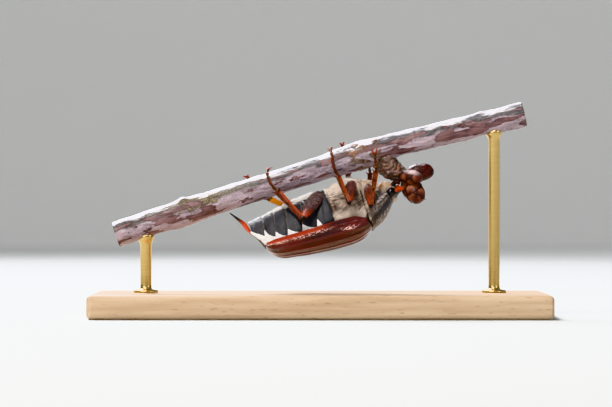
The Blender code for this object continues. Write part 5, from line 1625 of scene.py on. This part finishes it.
# %% The floor
FLAT, CURVE, RIM_HEIGHT, BELOW = 1.3, 0.6, 1.6, 0.00002  # in metres, as all of the stage
floor_profile = [(r, 0.0) for r in (0.001, 0.2, 0.4, 0.6, 0.8, 1.0, 1.2, FLAT)]
floor_profile += [(FLAT + CURVE * math.sin(a), CURVE - CURVE * math.cos(a))
                  for a in np.linspace(0.1, math.pi / 2, 14)]
floor_profile += [(FLAT + CURVE, RIM_HEIGHT)]
floor_turn = full_turn(96)
floor_rings = np.array([
    [(r * math.cos(a), r * math.sin(a), z - BELOW) for a in floor_turn] for r, z in floor_profile])
floor_mesh = bpy.data.meshes.new("floor")
floor_mesh.from_pydata(
    floor_rings.reshape(-1, 3).tolist(), [], grid_faces(np.arange(floor_rings[..., 0].size).reshape(-1, 96)))
floor_mesh.shade_smooth()
keep_marks(floor_mesh, {"far": np.repeat([smooth(radius, 0.4, 1.2) for radius, _ in floor_profile], 96)})
paper = Finish("floor, matt paper", Roughness=0.9)
paper.start("#b0b1af", "#e2e2e0", "far")
floor_mesh.materials.append(paper.done())
floor = new_object("floor", floor_mesh)

# %% [markdown]
# ### Light
# The light is soft: a large panel above and a little behind the twig, as from an open sky, two weak ones
# from the left and right front, one that lights the dish's far rim, and a pale world. A small panel high on
# the left gives the shell its highlights.

# %% The light


def lamp(name, at, aim, size, power, tint):
    """A square panel of light, in metres and watts."""
    light = bpy.data.lights.new(name, "AREA")
    light.shape, light.size, light.energy, light.color = "SQUARE", size, power, colour(tint)[:3]
    item = new_object(name, light)
    item.location = at
    way = unit(np.array(aim, float) - np.array(at, float))
    item.rotation_euler = (math.acos(-way[2]), 0, math.atan2(way[1], way[0]) - math.pi / 2)


MIDDLE = (0.0, 0.0, 0.02)
lamp("sky_panel", (-0.18, 0.33, 0.42), MIDDLE, 0.26, 9.5, "#f6f8ff")
lamp("highlight_panel", (-0.16, -0.36, 0.47), MIDDLE, 0.08, 3.8, "#fffdf8")
lamp("left_panel", (-0.36, -0.44, 0.26), MIDDLE, 0.13, 1.2, "#fffaf2")
lamp("right_panel", (0.5, -0.4, 0.25), MIDDLE, 0.2, 0.7, "#fff9f2")
lamp("backdrop_panel", (0.0, 0.9, 1.3), (0.0, 1.9, 0.5), 0.8, 5.0, "#ffffff")
world = bpy.data.worlds.new("studio")
world.use_nodes = True
world.node_tree.nodes["Background"].inputs["Color"].default_value = colour("#e4e8ee")
world.node_tree.nodes["Background"].inputs["Strength"].default_value = 0.34
bpy.context.scene.world = world
bpy.context.scene.view_settings.view_transform = "Khronos PBR Neutral"
print(len(bpy.data.lights), "panels of light")

# %% [markdown]
# ### Camera
# The camera looks level from the side, 0.6 m away, with a lens that frames 102 mm, as the photo does.

# %% The camera
PHOTO_WIDTH, PIXELS_PER_MM = 612, 6.0
SENSOR, DISTANCE = 36.0, 0.6
camera_data = bpy.data.cameras.new("camera")
camera_data.sensor_width = SENSOR
camera_data.lens = SENSOR / (PHOTO_WIDTH / PIXELS_PER_MM * MM) * DISTANCE
camera_data.clip_start, camera_data.clip_end = 0.01, 20.0
camera = new_object("camera", camera_data)
camera.location = (-0.00233, -DISTANCE, 0.0189)
camera.rotation_euler = (math.pi / 2, 0, 0)
bpy.context.scene.camera = camera
print("lens", round(camera_data.lens, 1), "mm")
